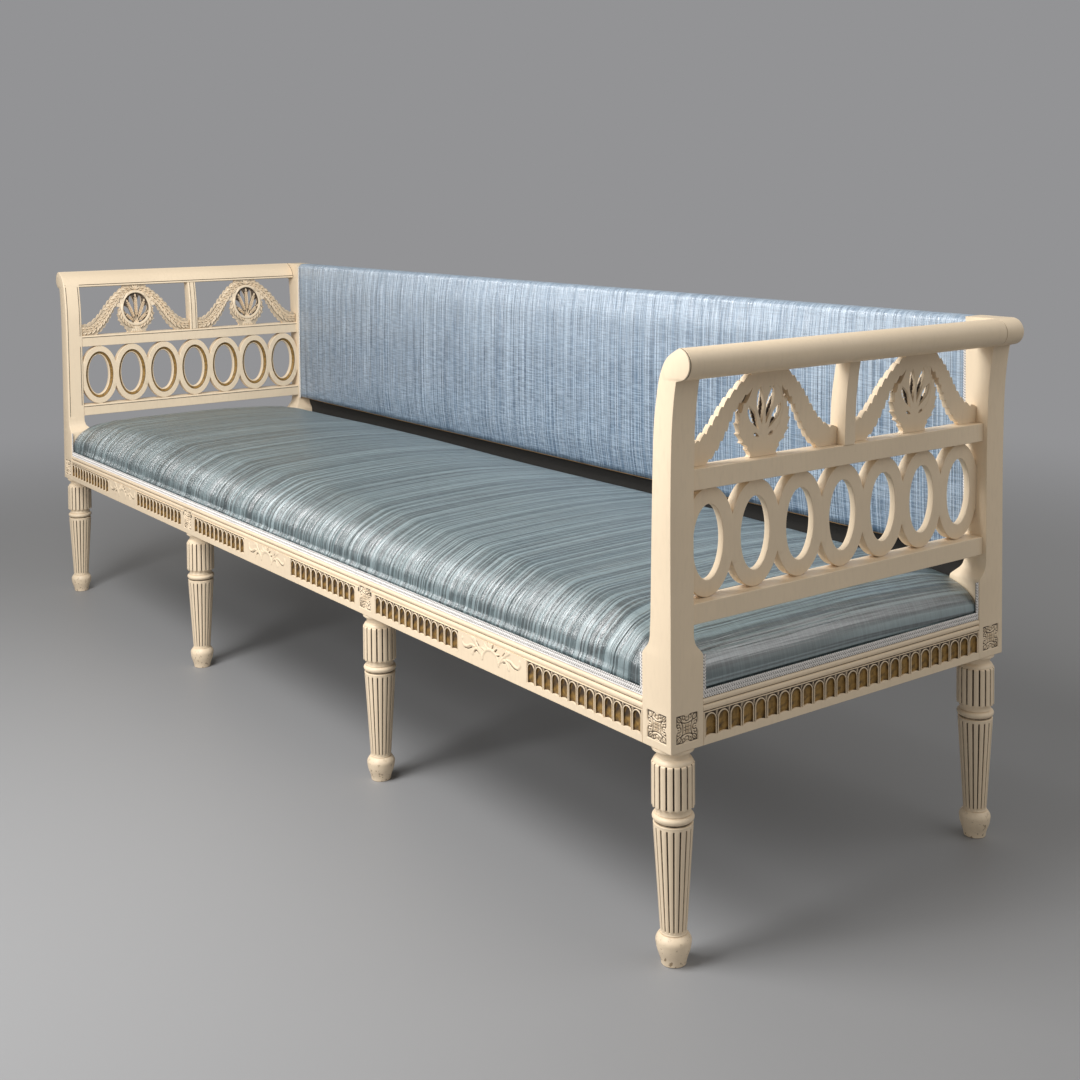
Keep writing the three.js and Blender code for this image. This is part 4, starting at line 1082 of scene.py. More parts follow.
def sprig_height(across, up):
    """Raised (above 0) and cut (below 0) carving between two arcades, in metres."""
    x = np.abs(across)
    raised = ridge(across, up, smooth_line(SPRIG_ARCH, 4), (0.0026, 0.0026))
    for line, radii in ((SPRIG_STEM, (0.0017, 0.0026)), (SPRIG_LEAF, (0.0014, 0.0024)),
                        (SPRIG_BUD, (0.0012, 0.0022)), (SPRIG_CURL, (0.0014, 0.0024))):
        raised = np.maximum(raised, ridge(x, up, smooth_line(line, 4), radii) * 0.9)
    sunk = np.zeros_like(x)
    for ray in range(3):
        angle = math.radians(12 + 25 * ray)
        start = np.array([math.sin(angle) * 0.0165, -0.004 + math.cos(angle) * 0.0165])
        tip = np.array([math.sin(angle) * 0.0255, -0.004 + math.cos(angle) * 0.0225])
        raised = np.maximum(raised, ridge(x, up, [start, tip], (0.0016, 0.0009)) * 0.9)
        notch = np.array([math.cos(angle), -math.sin(angle)]) * 0.0022
        sunk = np.maximum(sunk, ridge(x, up, [start + notch, tip + notch], (0.0013, 0.0008)))
    for line in SPRIG_CUTS:
        sunk = np.maximum(sunk, ridge(x, up, smooth_line(line, 4), (0.0012, 0.0009)))
    sunk = sunk * (1 - ramp(raised, 0.1, 0.5))
    return np.sqrt(raised) * 0.0011 - sunk * 0.0014, sunk


def relief_shell(width, height, depth, carve, step):
    """A slab in a pocket whose front is carved; carve gives (height, dirt) of its front."""
    columns, rows = int(width / step) + 1, int(height / step) + 1
    across, up = np.meshgrid(np.linspace(-width / 2, width / 2, columns),
                             np.linspace(-height / 2, height / 2, rows))
    front, dirt = carve(across, up)
    points = np.stack([across, up, front], axis=-1)
    border = np.zeros(across.shape, bool)
    border[[0, -1], :] = True
    border[:, [0, -1]] = True
    points[border, 2] = 0
    shell = Shell()
    faces = grid_faces(rows, columns, closed=False, capped=False)
    loop = [*range(columns), *range(2 * columns - 1, rows * columns, columns),
            *range(rows * columns - 2, (rows - 1) * columns - 1, -1),
            *range((rows - 2) * columns, 0, -columns)]
    base = rows * columns
    back = points.reshape(-1, 3)[loop].copy()
    back[:, 2] = -depth
    faces += [(loop[i], base + i, base + (i + 1) % len(loop), loop[(i + 1) % len(loop)])
              for i in range(len(loop))]
    faces.append(tuple(range(base, base + len(loop))))
    every = np.vstack([points.reshape(-1, 3), back])
    return shell.add(every, faces, np.concatenate([dirt.ravel(), np.zeros(len(loop))]))


def rosette_shell():
    def carve(across, up):
        share = rosette_height(across, up)
        return -ROSETTE_DEPTH * (1 - share), np.clip(1.0 - share * 2.0, 0, 1)
    return relief_shell(ROSETTE, ROSETTE, POCKET_DEPTH, carve, ROSETTE_STEP)


def sprig_shell():
    return relief_shell(SPRIG_WIDTH, SPRIG_HEIGHT, POCKET_DEPTH, sprig_height, SPRIG_STEP)


def pocket(across, up, width, height):
    """A box cut into a face at a place along it and up it."""
    return ((across - width / 2, up - height / 2, -POCKET_DEPTH),
            (across + width / 2, up + height / 2, POCKET_DEPTH))


def moved(across, up, out=0.0):
    return Matrix.Translation((across, up, out))


# Seat rails: two beads over a blind arcade.
ARCADE_BASE = 0.0104
ARCADE_TOP = 0.0424
ARCH_LIFT = 0.0106
ARCH_HEIGHT = 0.0284
RIM_WIDTH = 0.0019
SPANDREL_DEPTH = 0.0017
SILL_RISE = 0.0016
RUN_MARGIN = 0.002
END_RUN = (0.254, 13)
MIDDLE_RUN = (0.243, 12)
SIDE_ARCHES = 25
ROSETTE_MARGIN = 0.015
RAIL_THICKNESS = 0.044
BEAD_HEIGHT = 0.0084
BEAD_DEPTH = 0.0032
LOWER_QUIRK = 0.0014
BLOCK_MARGIN = 0.0045
JOINT = 0.0003
RAIL_HALF = HALF_LENGTH - BLOCK - JOINT

# Rings outwards from an arch's opening: offset, height, dirt and gilding. The dark on the wall of the
# opening is patina and painted shade of the recess.
CELL_EDGE = -0.0003
ARCH_RINGS = [(0, -0.0010, 0.5, 1.0), (0.0001, -0.0005, 0.2, 0.4), (0.0005, 0.0, 0, 0),
              (0.0014, 0.0, 0, 0), (RIM_WIDTH - 0.0003, -0.0005, 0, 0),
              (RIM_WIDTH, -SPANDREL_DEPTH, 0.85, 0)]


def arch_outline(pitch):
    """Points round one arch from its left foot to its right foot, with their outward directions."""
    half = carving().arch_share * pitch / 2
    spring = ARCH_LIFT + ARCH_HEIGHT - half
    feet = np.linspace(ARCH_LIFT, spring, 4)[:-1]
    angles = np.linspace(math.pi, 0, 13)
    left = [((-half, up), (-1, 0)) for up in feet]
    crown = [((half * math.cos(a), spring + half * math.sin(a)), (math.cos(a), math.sin(a)))
             for a in angles]
    right = [((half, up), (1, 0)) for up in feet[::-1]]
    outline = [*left, *crown, *right]
    return np.array([point for point, _ in outline]), np.array([out for _, out in outline])


def arch_cell(pitch):
    """One arch of an arcade: a sunk gilt floor, a rounded rim, a sunk spandrel and a dart."""
    outline, outwards = arch_outline(pitch)
    depth = carving().arch_depth
    rings, dirt, gilt = [], [], []
    # The foot of the opening and its wall are darkened for patina and for painted shade of the recess.
    for offset, sunk, patina, gold in [(0, -depth, 0.75, 1.0), *ARCH_RINGS]:
        ring = outline + outwards * offset
        clipped = np.abs(ring[:, 0]) >= pitch / 2
        ring[:, 0] = np.clip(ring[:, 0], -pitch / 2, pitch / 2)
        rings.append(np.column_stack([ring, np.where(clipped, CELL_EDGE, sunk)]))
        dirt.append(np.where(clipped, 0.12, patina))
        gilt.append(np.full(len(ring), gold))
    edge = outline + outwards * RIM_WIDTH
    edge[:, 0] = np.clip(edge[:, 0], -pitch / 2, pitch / 2)
    spring = ARCH_LIFT + ARCH_HEIGHT - carving().arch_share * pitch / 2
    for index, way in enumerate(outwards):
        if way[1] > 0 or edge[index][1] > spring:
            reach = [(ARCADE_TOP - spring) / max(way[1], 1e-6), (pitch / 2) / max(abs(way[0]), 1e-6)]
            edge[index] = np.array([0, spring]) + way * min(reach)
    between = (np.abs(edge[:, 0]) >= pitch / 2 - MERGE) & (edge[:, 1] <= spring + 0.004)
    rings.append(np.column_stack([edge, np.where(between, CELL_EDGE, -SPANDREL_DEPTH)]))
    dirt.append(np.where(edge[:, 1] > ARCADE_TOP - MERGE, 0.75, 0.45))
    gilt.append(np.zeros(len(edge)))
    faces = [face[::-1] for face in grid_faces(len(rings), len(outline), closed=False, capped=False)]
    shell = Shell().add(np.array(rings), faces, np.array(dirt), np.array(gilt), solid=False)
    floor = np.column_stack([outline, np.full(len(outline), -depth)])
    shell.add(floor, [tuple(range(len(floor)))[::-1]], 0.13, 1.0, solid=False)
    shell.join(sill_shell(pitch, depth))
    return shell.join(dart_shell(), moved(-pitch / 2, 0))


def sill_shell(pitch, depth):
    """The wavy sill under one arch and the feet of its rims."""
    columns, bevel = 9, 0.0004
    across = np.linspace(-pitch / 2, pitch / 2, columns)
    crest = ARCH_LIFT + SILL_RISE * np.cos(math.pi * across / pitch) ** 2
    levels = [(ARCADE_BASE, 0.0), (crest - bevel, 0.0), (crest, -bevel), (crest, -depth)]
    rows = [np.column_stack([across, np.broadcast_to(up, columns), np.full(columns, out)])
            for up, out in levels]
    faces = grid_faces(len(rows), columns, closed=False, capped=False)
    return Shell().add(np.array(rows), faces, 0.03, solid=False)


def dart_shell():
    """A small pointed leaf that hangs between two arches; its upper corners are dark with patina and with
    a painted shadow of the leaf.
    """
    ring = [(-0.0016, ARCADE_TOP), (0.0016, ARCADE_TOP), (0.0013, 0.0385), (0, 0.0350),
            (-0.0013, 0.0385)]
    points = [(x, y, -SPANDREL_DEPTH) for x, y in ring] + [(0, 0.0400, -0.0003)]
    faces = [(corner, (corner + 1) % 5, 5) for corner in range(5)]
    return Shell().add(points, faces, [0.9, 0.9, 0.6, 0.3, 0.6, 0.0], solid=False)


def front_runs():
    """(middle, length, arches) of the six arcades of the front rail."""
    outer = HALF_LENGTH - BLOCK - RUN_MARGIN
    beside = MID_LEG_X + ROSETTE / 2 + ROSETTE_MARGIN
    inner = MID_LEG_X - ROSETTE / 2 - ROSETTE_MARGIN
    ends = [(outer - END_RUN[0] / 2, *END_RUN), (beside + END_RUN[0] / 2, *END_RUN),
            (inner - MIDDLE_RUN[0] / 2, *MIDDLE_RUN)]
    return ends + [(-middle, size, arches) for middle, size, arches in ends]


def rail_outline(beaded):
    """(up, out) round the section of a seat rail, its face at out = 0."""
    top = RAIL_TOP - RAIL_BASE
    back = [(EDGE, -RAIL_THICKNESS), (0, -RAIL_THICKNESS + EDGE), (0, -EDGE), (EDGE, 0)]
    if not beaded:
        return [*back, (top - EDGE, 0), (top, -EDGE), (top, -RAIL_THICKNESS + EDGE),
                (top - EDGE, -RAIL_THICKNESS)]
    quirk = top - BEAD_HEIGHT
    second = quirk - BEAD_HEIGHT
    face = [(ARCADE_BASE - 0.001, 0), (ARCADE_TOP + 0.0004, 0), (second - 0.0010, 0),
            (second - 0.0006, -LOWER_QUIRK), (second + 0.0002, -LOWER_QUIRK)]
    lower = [(second + BEAD_HEIGHT / 2 - (BEAD_HEIGHT / 2 - 0.0004) * math.cos(angle),
              -(LOWER_QUIRK if angle < math.pi / 2 else BEAD_DEPTH) * (1 - math.sin(angle)))
             for angle in np.linspace(0.2, math.pi, 11)]
    upper = [(quirk + BEAD_HEIGHT / 2 - (BEAD_HEIGHT / 2 - 0.0003) * math.cos(angle),
              -BEAD_DEPTH * (1 - math.sin(angle))) for angle in np.linspace(0, math.pi, 11)]
    return [*back, *face, *lower, *upper, (top, -RAIL_THICKNESS + EDGE),
            (top - EDGE, -RAIL_THICKNESS)]


def rail_shell(half, beaded):
    outline = rail_outline(beaded)
    dirt = [0.75 if -BEAD_DEPTH * 1.2 < out <= -BEAD_DEPTH * 0.97 and up < RAIL_TOP - RAIL_BASE - EDGE
            else 0.7 if out == -LOWER_QUIRK else 0.0 for up, out in outline]
    places = np.linspace(-half, half, 3)
    rings = [[(at, up, out) for up, out in outline] for at in places]
    return Shell().add(rings, grid_faces(len(rings), len(outline)), np.tile(dirt, len(rings)))


def carved_rail(half, runs, sprigs, rosettes):
    """A beaded rail with its arcades, sprigs and rosettes let into its face."""
    material = cream_paint()
    band = ARCADE_TOP - ARCADE_BASE
    middle = (ARCADE_TOP + ARCADE_BASE) / 2
    boxes = [pocket(at, middle, size, band) for at, size, _ in runs]
    boxes += [pocket(at, middle, SPRIG_WIDTH, SPRIG_HEIGHT) for at in sprigs]
    boxes += [pocket(at, ROSETTE_RISE, ROSETTE, ROSETTE) for at in rosettes]
    shell = cut_pockets(rail_shell(half, True), boxes, material)
    for at in rosettes:
        opening = pocket(at, ROSETTE_RISE, ROSETTE, ROSETTE)
        shell.join(cut_pockets(rosette_block(at), [opening], material))
    cells = {}
    for at, size, arches in runs:
        pitch = size / arches
        if pitch not in cells:
            cells[pitch] = arch_cell(pitch)
        row(shell, cells[pitch], material, arches, (at - size / 2 + pitch / 2, 0, 0), (pitch, 0, 0))
    for at in sprigs:
        shell.join(sprig_shell(), moved(at, middle))
    for at in rosettes:
        shell.join(rosette_shell(), moved(at, ROSETTE_RISE))
    return shell


def rosette_block(at):
    """The square of plain face that carries a rosette across the lower bead."""
    low = ROSETTE_RISE + ROSETTE / 2 - 0.012
    high = RAIL_TOP - RAIL_BASE - BEAD_HEIGHT - 0.0006
    half = ROSETTE / 2 + BLOCK_MARGIN
    outline = [(-half, low), (half, low), (half, high), (-half, high)]
    rings = [[(at + x, up, out) for x, up in outline] for out in (-BEAD_DEPTH * 2, -EDGE / 2)]
    inset = [(at + x * (1 - EDGE / half), up + (EDGE if up == low else -EDGE), 0) for x, up in outline]
    rings.append(inset)
    return Shell().add(rings, grid_faces(3, 4))


# Rails, stiles and galleries of the arms.
def arm_bar(base, top):
    """(x, z, dirt) round the section of an arm rail, beaded along the upper edge of its inner face."""
    outer = HALF_LENGTH - ARM_OUTSET
    heights = [base + EDGE, *np.linspace(base + EDGE * 3, top - 0.0075, 3)]
    return [(float(inner_at(base)) + EDGE, base, 0), *[(float(inner_at(z)), z, 0) for z in heights],
            *bead_section(top, -1), (outer - EDGE, top, 0), (outer, top - EDGE, 0),
            (outer, base + EDGE, 0), (outer - EDGE, base, 0)]


def bead_section(edge, way):
    """Quirk and bead beside an edge of the inner face; way is -1 where the wood lies below the edge."""
    points = []
    for gap, drop, dirt in ((QUIRK_WIDTH, 0, 0), (QUIRK_WIDTH * 0.7, QUIRK_DEPTH, 1),
                            (QUIRK_WIDTH * 0.2, QUIRK_DEPTH, 1), (0, 0, 0)):
        z = edge + way * (BEAD_WIDTH + gap)
        points.append((float(inner_at(z)) + drop, z, dirt))
    for step in range(4):
        angle = math.pi / 2 * step / 3
        z = edge + way * CORNER_BEAD * (1 - math.sin(angle))
        points.append((float(inner_at(z)) + CORNER_BEAD * (1 - math.cos(angle)), z, 0))
    return points


CREST_LAP = 0.00015
CREST_FRONT = HALF_DEPTH - SEAM_SET - QUIRK_WIDTH


def crest_section():
    """(x, z, dirt) round the crest: the head of a post with a bead along its lower inner edge."""
    start = CREST_BASE + BEAD_WIDTH + QUIRK_WIDTH + 0.001
    rises = start + (TOP - start) * np.sin(np.linspace(0, math.pi / 2, 24))
    sweep = [(float(inner_at(z)) - CREST_LAP, float(z), 0) for z in rises[:-1]]
    radius = SCROLL_RADIUS + CREST_LAP
    scroll = [(SCROLL_X + radius * math.sin(a), SCROLL_Z + radius * math.cos(a), 0)
              for a in np.linspace(0, math.pi, 33)]
    return [*reversed(bead_section(CREST_BASE, 1)), *sweep, *scroll]


def bar_shell(section, front, back, seam=0.0):
    """A straight bar along an arm; a seam draws in its back end where it meets the post."""
    section = np.array(section)
    middle = section[:, :2].mean(0)
    stations = [(y, 0.0) for y in np.linspace(-front, back - EDGE * 2, 5)]
    stations += [(back - EDGE, seam), (back, seam)]
    rings, dirt = [], []
    for y, drawn in stations:
        flat = middle + (section[:, :2] - middle) * (1 - drawn)
        rings.append(np.column_stack([flat[:, 0], np.full(len(section), y), flat[:, 1]]))
        dirt.append(np.maximum(section[:, 2], 0.75 * (drawn > 0)))
    return Shell().add(rings, grid_faces(len(rings), len(section)), np.array(dirt))


def stile_shell():
    def outer(height):
        return float(outer_at(min(height, NOTCH_Z))) - ARM_OUTSET

    half = (STILE_HIGH.y - STILE_LOW.y) / 2
    heights = np.linspace(STILE_LOW.z, STILE_HIGH.z, 16)
    return upright_shell(heights, lambda z: float(inner_at(z)), outer, lambda z: -half, lambda z: half,
                         lambda z: 1.0, lambda z: 1.0)


OVALS = 7
OVAL_LAP = 0.0088
OVAL_SIDE = 0.0205
OVAL_END = 0.023
BOARD = 0.017
BOARD_RECESS = 0.002

# Steps of the cove outwards from an oval's hole: reach, depth, dirt and gilding.
COVE = [(0, BOARD, 0, 0), (-EDGE, BOARD - EDGE, 0, 0), (-EDGE, 0.0076, 0, 0), (0, 0.0064, 0, 0),
        (0.0009, 0.0060, 0, 0), (0.0018, 0.0063, 0, 0), (0.0022, 0.0070, 0.6, 0.8),
        (0.0025, 0.0066, 0.1, 1), (0.0032, 0.0050, 0.1, 1), (0.0044, 0.0043, 0, 1),
        (0.0050, 0.0044, 0.6, 1), (0.0053, 0.0040, 0.1, 1), (0.0060, 0.0024, 0, 1),
        (0.0070, 0.0018, 0.2, 1), (0.0075, 0.0018, 0.95, 0.6), (0.0078, 0.0012, 1, 0),
        (0.0079, 0.0004, 0.4, 0), (0.0084, 0.0, 0, 0)]


def oval_angles(turn):
    """Angles round an oval, with one exactly where it meets its neighbour."""
    quarter = [*np.linspace(0, turn, 5)[:-1], *np.linspace(turn, math.pi / 2, 15)]
    half = quarter + [math.pi - angle for angle in quarter[-2::-1]]
    return np.array(half + [angle + math.pi for angle in half[1:-1]])


def gallery_shell():
    """Seven joined ovals sawn from one board, each with a stepped and gilt cove on its inner face."""
    rise = (GALLERY_HIGH.z - GALLERY_LOW.z) / 2
    pitch = (GALLERY_HIGH.y - GALLERY_LOW.y) / OVALS
    half_width = (pitch + OVAL_LAP) / 2
    angles = oval_angles(math.acos(pitch / 2 / half_width))
    count = len(angles)
    hole = np.array([half_width - OVAL_SIDE, rise - OVAL_END])
    whole = np.array([half_width, rise])
    between = whole + (hole - whole) * 0.5
    touches = np.abs(whole[0] * np.cos(angles)) > pitch / 2 - MERGE
    rings = [(hole + EDGE + reach, sunk, sunk, patina, gold) for reach, sunk, patina, gold in COVE]
    wall = len(rings) + 2
    rings += [(axes, sunk, flush, 0, 0) for axes, sunk, flush in (
        (between, 0, 0), (whole - EDGE, 0, 0), (whole, EDGE, 0), (whole, BOARD - EDGE, BOARD),
        (whole - EDGE, BOARD, BOARD), (between, BOARD, BOARD))]
    dirt, gilt = (np.repeat([ring[column] for ring in rings], count) for column in (3, 4))
    faces = [tuple(corner % (len(rings) * count) for corner in face)
             for face in grid_faces(len(rings) + 1, count, capped=False)]

    def joined(place, line, column):
        """Whether a face lies between two ovals."""
        side = np.cos(angles[column])
        at_end = (side < 0 and place == 0) or (side > 0 and place == OVALS - 1)
        return line == wall and touches[column] and touches[(column + 1) % count] and not at_end

    shell = Shell()
    for place in range(OVALS):
        centre = (place + 0.5 - OVALS / 2) * pitch
        loops = [np.column_stack([np.where(touches, flush, sunk),
                                  centre + np.clip(axes[0] * np.cos(angles), -pitch / 2, pitch / 2),
                                  axes[1] * np.sin(angles)]) for axes, sunk, flush, _, _ in rings]
        kept = [face for index, face in enumerate(faces) if not joined(place, *divmod(index, count))]
        shell.add(np.array(loops), kept, dirt, gilt, solid=False)
    if volume(np.concatenate(shell.points), shell.faces) < 0:
        shell.faces = [face[::-1] for face in shell.faces]
    middle = (GALLERY_HIGH.z + GALLERY_LOW.z) / 2

    def to_arm(points):
        points[:, 2] += middle
        points[:, 0] += inner_at(points[:, 2]) + BOARD_RECESS
        return points

    return shell.bend(to_arm)


# Garland frets. Outlines are shares of a fret's width and height.
SWAG_TOP = [(0, 0.2), (0.05, 0.205), (0.1, 0.26), (0.15, 0.36), (0.2, 0.5), (0.25, 0.65), (0.3, 0.77),
            (0.35, 0.87), (0.4, 0.95), (0.42, 1)]
SWAG_UNDER = [(0.115, 0), (0.16, 0.06), (0.2, 0.15), (0.235, 0.27), (0.265, 0.38), (0.29, 0.5),
              (0.325, 0.62), (0.36, 0.71), (0.405, 0.78)]
MEDALLION = [(0.396, 0.7), (0.352, 0.59), (0.33, 0.44), (0.332, 0.3), (0.35, 0.2), (0.385, 0.11),
             (0.415, 0.06), (0.41, 0)]
SWAG_SPINE = [(0.015, 0.10), (0.07, 0.115), (0.125, 0.165), (0.18, 0.29), (0.225, 0.43), (0.27, 0.58),
              (0.32, 0.71), (0.37, 0.82), (0.43, 0.90)]
FRET_THICKNESS = 0.013
FRET_RECESS = 0.0015
CARVED_DEPTH = 0.0044
TOOTH = 0.0140
TOOTH_DEPTH = 0.0034
SLICE = 0.0075


def serrated(line):
    """A sawn edge of leaf tips: each tooth swells along the line and drops back sharply."""
    points = evenly(line, TOOTH)
    way = np.gradient(points, axis=0)
    way /= np.linalg.norm(way, axis=1)[:, None]
    out = np.column_stack([way[:, 1], -way[:, 0]])
    teeth = [points[0]]
    for index in range(len(points) - 1):
        start, stop = points[index], points[index + 1]
        middle = start + (stop - start) * 0.45
        tip = start + (stop - start) * 0.88
        teeth += [middle - out[index] * TOOTH_DEPTH * 0.75, tip - out[index] * TOOTH_DEPTH, stop]
    return teeth


def fret_size():
    return np.array([FRET_HIGH.y - FRET_LOW.y, FRET_HIGH.z - FRET_LOW.z])


def in_fret(shares):
    return np.array(shares, float) * fret_size() - np.array([fret_size()[0] / 2, 0])


def fret_outline():
    top = serrated(smooth_line(in_fret(SWAG_TOP), 6))
    under = serrated(smooth_line(in_fret(SWAG_UNDER), 6)[::-1])[::-1]
    medallion = serrated(smooth_line(in_fret(MEDALLION), 6))
    side = [*[tuple(point) for point in reversed(top)], tuple(in_fret([(0, 0)])[0])]
    side += [tuple(point) for point in under] + [tuple(point) for point in medallion]
    other = [(-x, z) for x, z in reversed(side)]
    return clean_loop(side + other)


def clean_loop(points):
    kept = []
    for point in points:
        if not kept or math.dist(point, kept[-1]) > EDGE / 3:
            kept.append(point)
    if math.dist(kept[0], kept[-1]) < EDGE / 3:
        kept.pop()
    return kept


def is_inside(points, loop):
    """Whether each flat point lies inside a loop."""
    inside = np.zeros(len(points), bool)
    for start, stop in zip(loop, np.roll(loop, -1, axis=0)):
        crosses = (points[:, 1] < start[1]) != (points[:, 1] < stop[1])
        rise = stop[1] - start[1]
        rise = rise if abs(rise) > 1e-12 else 1e-12
        at = start[0] + (stop[0] - start[0]) * (points[:, 1] - start[1]) / rise
        inside ^= crosses & (points[:, 0] < at)
    return inside


def filled(loops):
    """Triangles between a flat outline and its holes."""
    flat = np.array([point for loop in loops for point in loop], float)
    edges, start = [], 0
    for loop in loops:
        edges += [(start + at, start + (at + 1) % len(loop)) for at in range(len(loop))]
        start += len(loop)
    corners = [Vector(point) for point in flat]
    _, _, faces, origins, _, _ = delaunay_2d_cdt(corners, edges, [], 1, MERGE / 10)
    faces = np.array([[origins[corner][0] for corner in face] for face in faces])
    centres = flat[faces].mean(1)
    kept = is_inside(centres, np.array(loops[0]))
    for hole in loops[1:]:
        kept &= ~is_inside(centres, np.array(hole))
    return [tuple(int(corner) for corner in face) for face in faces[kept]]


def board_shell(outline, holes, front, rear, front_darkening):
    """A flat board with holes, sliced level so that it can be bent."""
    loops = [outline, *holes]
    triangles = filled(loops)
    flat = [point for loop in loops for point in loop]
    build = bmesh.new()
    near, clean, far = ([build.verts.new((*point, level)) for point in flat]
                        for level in (-front, -front - EDGE, -rear))
    for a, b, c in triangles:
        build.faces.new((near[a], near[b], near[c]))
        build.faces.new((far[c], far[b], far[a]))
    start = 0
    for loop in loops:
        for index in range(len(loop)):
            a, b = start + index, start + (index + 1) % len(loop)
            build.faces.new((near[a], clean[a], clean[b], near[b]))
            build.faces.new((clean[a], far[a], far[b], clean[b]))
        start += len(loop)
    for height in np.arange(SLICE, max(up for _, up in flat), SLICE):
        bmesh.ops.bisect_plane(build, geom=[*build.verts, *build.edges, *build.faces],
                               plane_co=(0, height, 0), plane_no=(0, 1, 0))
    bmesh.ops.recalc_face_normals(build, faces=build.faces)
    build.verts.index_update()
    points = np.array([vert.co[:] for vert in build.verts])
    faces = [tuple(vert.index for vert in face.verts) for face in build.faces]
    build.free()
    dirt = np.where(np.abs(points[:, 2] + front) < MERGE, front_darkening, 0.0)
    return Shell().add(points, faces, dirt)


# Ring, ears and leaves of the garlands.
RING_CENTRE = (0, fret_size()[1] * 0.515)
RING_AXES = (0.0375, 0.0425)
RING_WIDTH = 0.0078
RING_HEIGHT = 0.0044
BAND_SECTION = [(-1, -0.3, 0.9), (-0.95, 0.4, 0.3), (-0.6, 0.9, 0), (0, 1, 0), (0.6, 0.9, 0),
                (0.95, 0.4, 0.3), (1, -0.3, 0.9)]
STROKE_SECTION = [(-1, -0.4, 0.9), (-0.8, 0.5, 0.2), (0, 1, 0), (0.8, 0.5, 0.2), (1, -0.4, 0.9)]
STEM_TOP = 0.027
EAR_ROOT = np.array([0, STEM_TOP - 0.004])
EARS = [(0.070, 0, (1,)), (0.060, 21, (-1, 1)), (0.040, 47, (-1, 1))]
EAR_HALF = 0.0019
EAR_SINK = 0.0030
GRAIN_GAP = 0.0056
GRAIN_TURN = 0.46
PETAL_TURNS = [(10.5, 0.020, 10.5), (34, 0.016, 13), (64, 0.009, 17)]
PETAL_HALF = 0.0066
PETAL_LEAST = 0.0007
LEAF_MARGIN = 0.0008
LEAF_SLOPE = 0.0042
LEAF_RISE = 0.0038
SWAG_PITCH = 0.0105
SWAG_SIDE = 0.0032
SWAG_TURN = 0.36
RING_LEAVES = 13
RING_LEAF_STEP = 12.2


def leaf_shell(size, width, height, soil):
    """A pointed leaf with a sunk vein, from its stalk at the origin along x, its edges darkened."""
    rings, dirt = [], []
    for share in (0, 0.12, 0.3, 0.5, 0.7, 0.86, 1):
        spread_out = width / 2 * math.sin(math.pi * min(1, share * 0.92 + 0.06)) ** 0.8
        rise = height * (0.35 + 0.65 * math.sin(math.pi * min(1, share * 0.8 + 0.12)))
        if share == 1:
            spread_out, rise = width * 0.04, height * 0.45
        ring = [(-1, -0.6, 0.95), (-0.92, 0.2, soil), (-0.5, 1, 0), (0, 0.5, soil * 0.6), (0.5, 1, 0),
                (0.92, 0.2, soil), (1, -0.6, 0.95)]
        rings.append([(size * share, spread_out * side, rise * up) for side, up, _ in ring])
        dirt.append([darkening for _, _, darkening in ring])
    return Shell().add(rings, grid_faces(7, 7), np.array(dirt))


def oval_band(centre, axes, width, height, steps=64):
    """A smooth rounded band round an oval, standing on a level of zero."""
    angles = np.linspace(0, math.tau, steps, endpoint=False)
    loops = []
    for side, up, _ in BAND_SECTION:
        reach = np.array(axes) + side * width / 2
        loops.append(np.column_stack([centre[0] + reach[0] * np.cos(angles),
                                      centre[1] + reach[1] * np.sin(angles),
                                      np.full(steps, up * height)]))
    count = len(BAND_SECTION)
    faces = [tuple(corner % (count * steps) for corner in face)
             for face in grid_faces(count + 1, steps, capped=False)]
    dirt = np.repeat([soil for _, _, soil in BAND_SECTION], steps)
    return Shell().add(np.array(loops), faces, dirt)


def oval_loop(inset, steps=48):
    """Points round the medallion's ring, drawn in from its middle line."""
    reach = np.array(RING_AXES) - inset
    return [(RING_CENTRE[0] + reach[0] * math.cos(angle), RING_CENTRE[1] + reach[1] * math.sin(angle))
            for angle in np.linspace(0, math.tau, steps, endpoint=False)]


def petal_holes():
    """Piercings between the left ears of the medallion, each a petal from near the stem to the ring."""
    axes = np.array(RING_AXES) - RING_WIDTH / 2 - 0.0008
    reaches = np.linspace(0, 0.09, 400)
    shares = np.linspace(0, 1, 9)
    holes = []
    for turn, start, half_turn in PETAL_TURNS:
        way = np.array([-math.sin(math.radians(turn)), math.cos(math.radians(turn))])
        aside = np.array([way[1], -way[0]])
        inside = [math.hypot(*((EAR_ROOT + way * reach - RING_CENTRE) / axes)) < 1 for reach in reaches]
        stop = reaches[max(np.flatnonzero(inside))] - 0.0012
        along = start + (stop - start) * shares
        wide = np.maximum(along * math.sin(math.radians(half_turn)) - EAR_HALF, PETAL_LEAST)
        wide = np.minimum(wide, PETAL_HALF) * np.sin(math.pi * np.clip(shares, 0.02, 0.98)) ** 0.55
        one = [EAR_ROOT + way * at + aside * half for at, half in zip(along, wide)]
        other = [EAR_ROOT + way * at - aside * half for at, half in zip(along[-2:0:-1], wide[-2:0:-1])]
        holes.append([tuple(point) for point in [*one, *other]])
    return holes


def swag_places():
    """Leaves of the left swag, from the medallion down to the corner."""
    spine = evenly(smooth_line(in_fret(SWAG_SPINE), 8)[::-1], SWAG_PITCH)
    way = np.gradient(spine, axis=0)
    turns = np.arctan2(way[:, 1], way[:, 0])
    places = []
    for index, (point, turn) in enumerate(zip(spine, turns)):
        aside = np.array([-math.sin(turn), math.cos(turn)])
        wobble = 0.06 * math.sin(index * 2.4)
        for side in (-1, 1):
            start = point + aside * SWAG_SIDE * side
            places.append(((*start, 0.0002), (0, -0.10, turn + side * (SWAG_TURN + wobble)), (1, 1, 1)))
        places.append(((*point, 0.0004), (0, -0.13, turn - wobble), (0.80, 0.85, 0.8)))
    return places


def mirrored_places(places):
    return [((-x, y, z), (roll, pitch, math.pi - yaw), size)
            for (x, y, z), (roll, pitch, yaw), size in places]


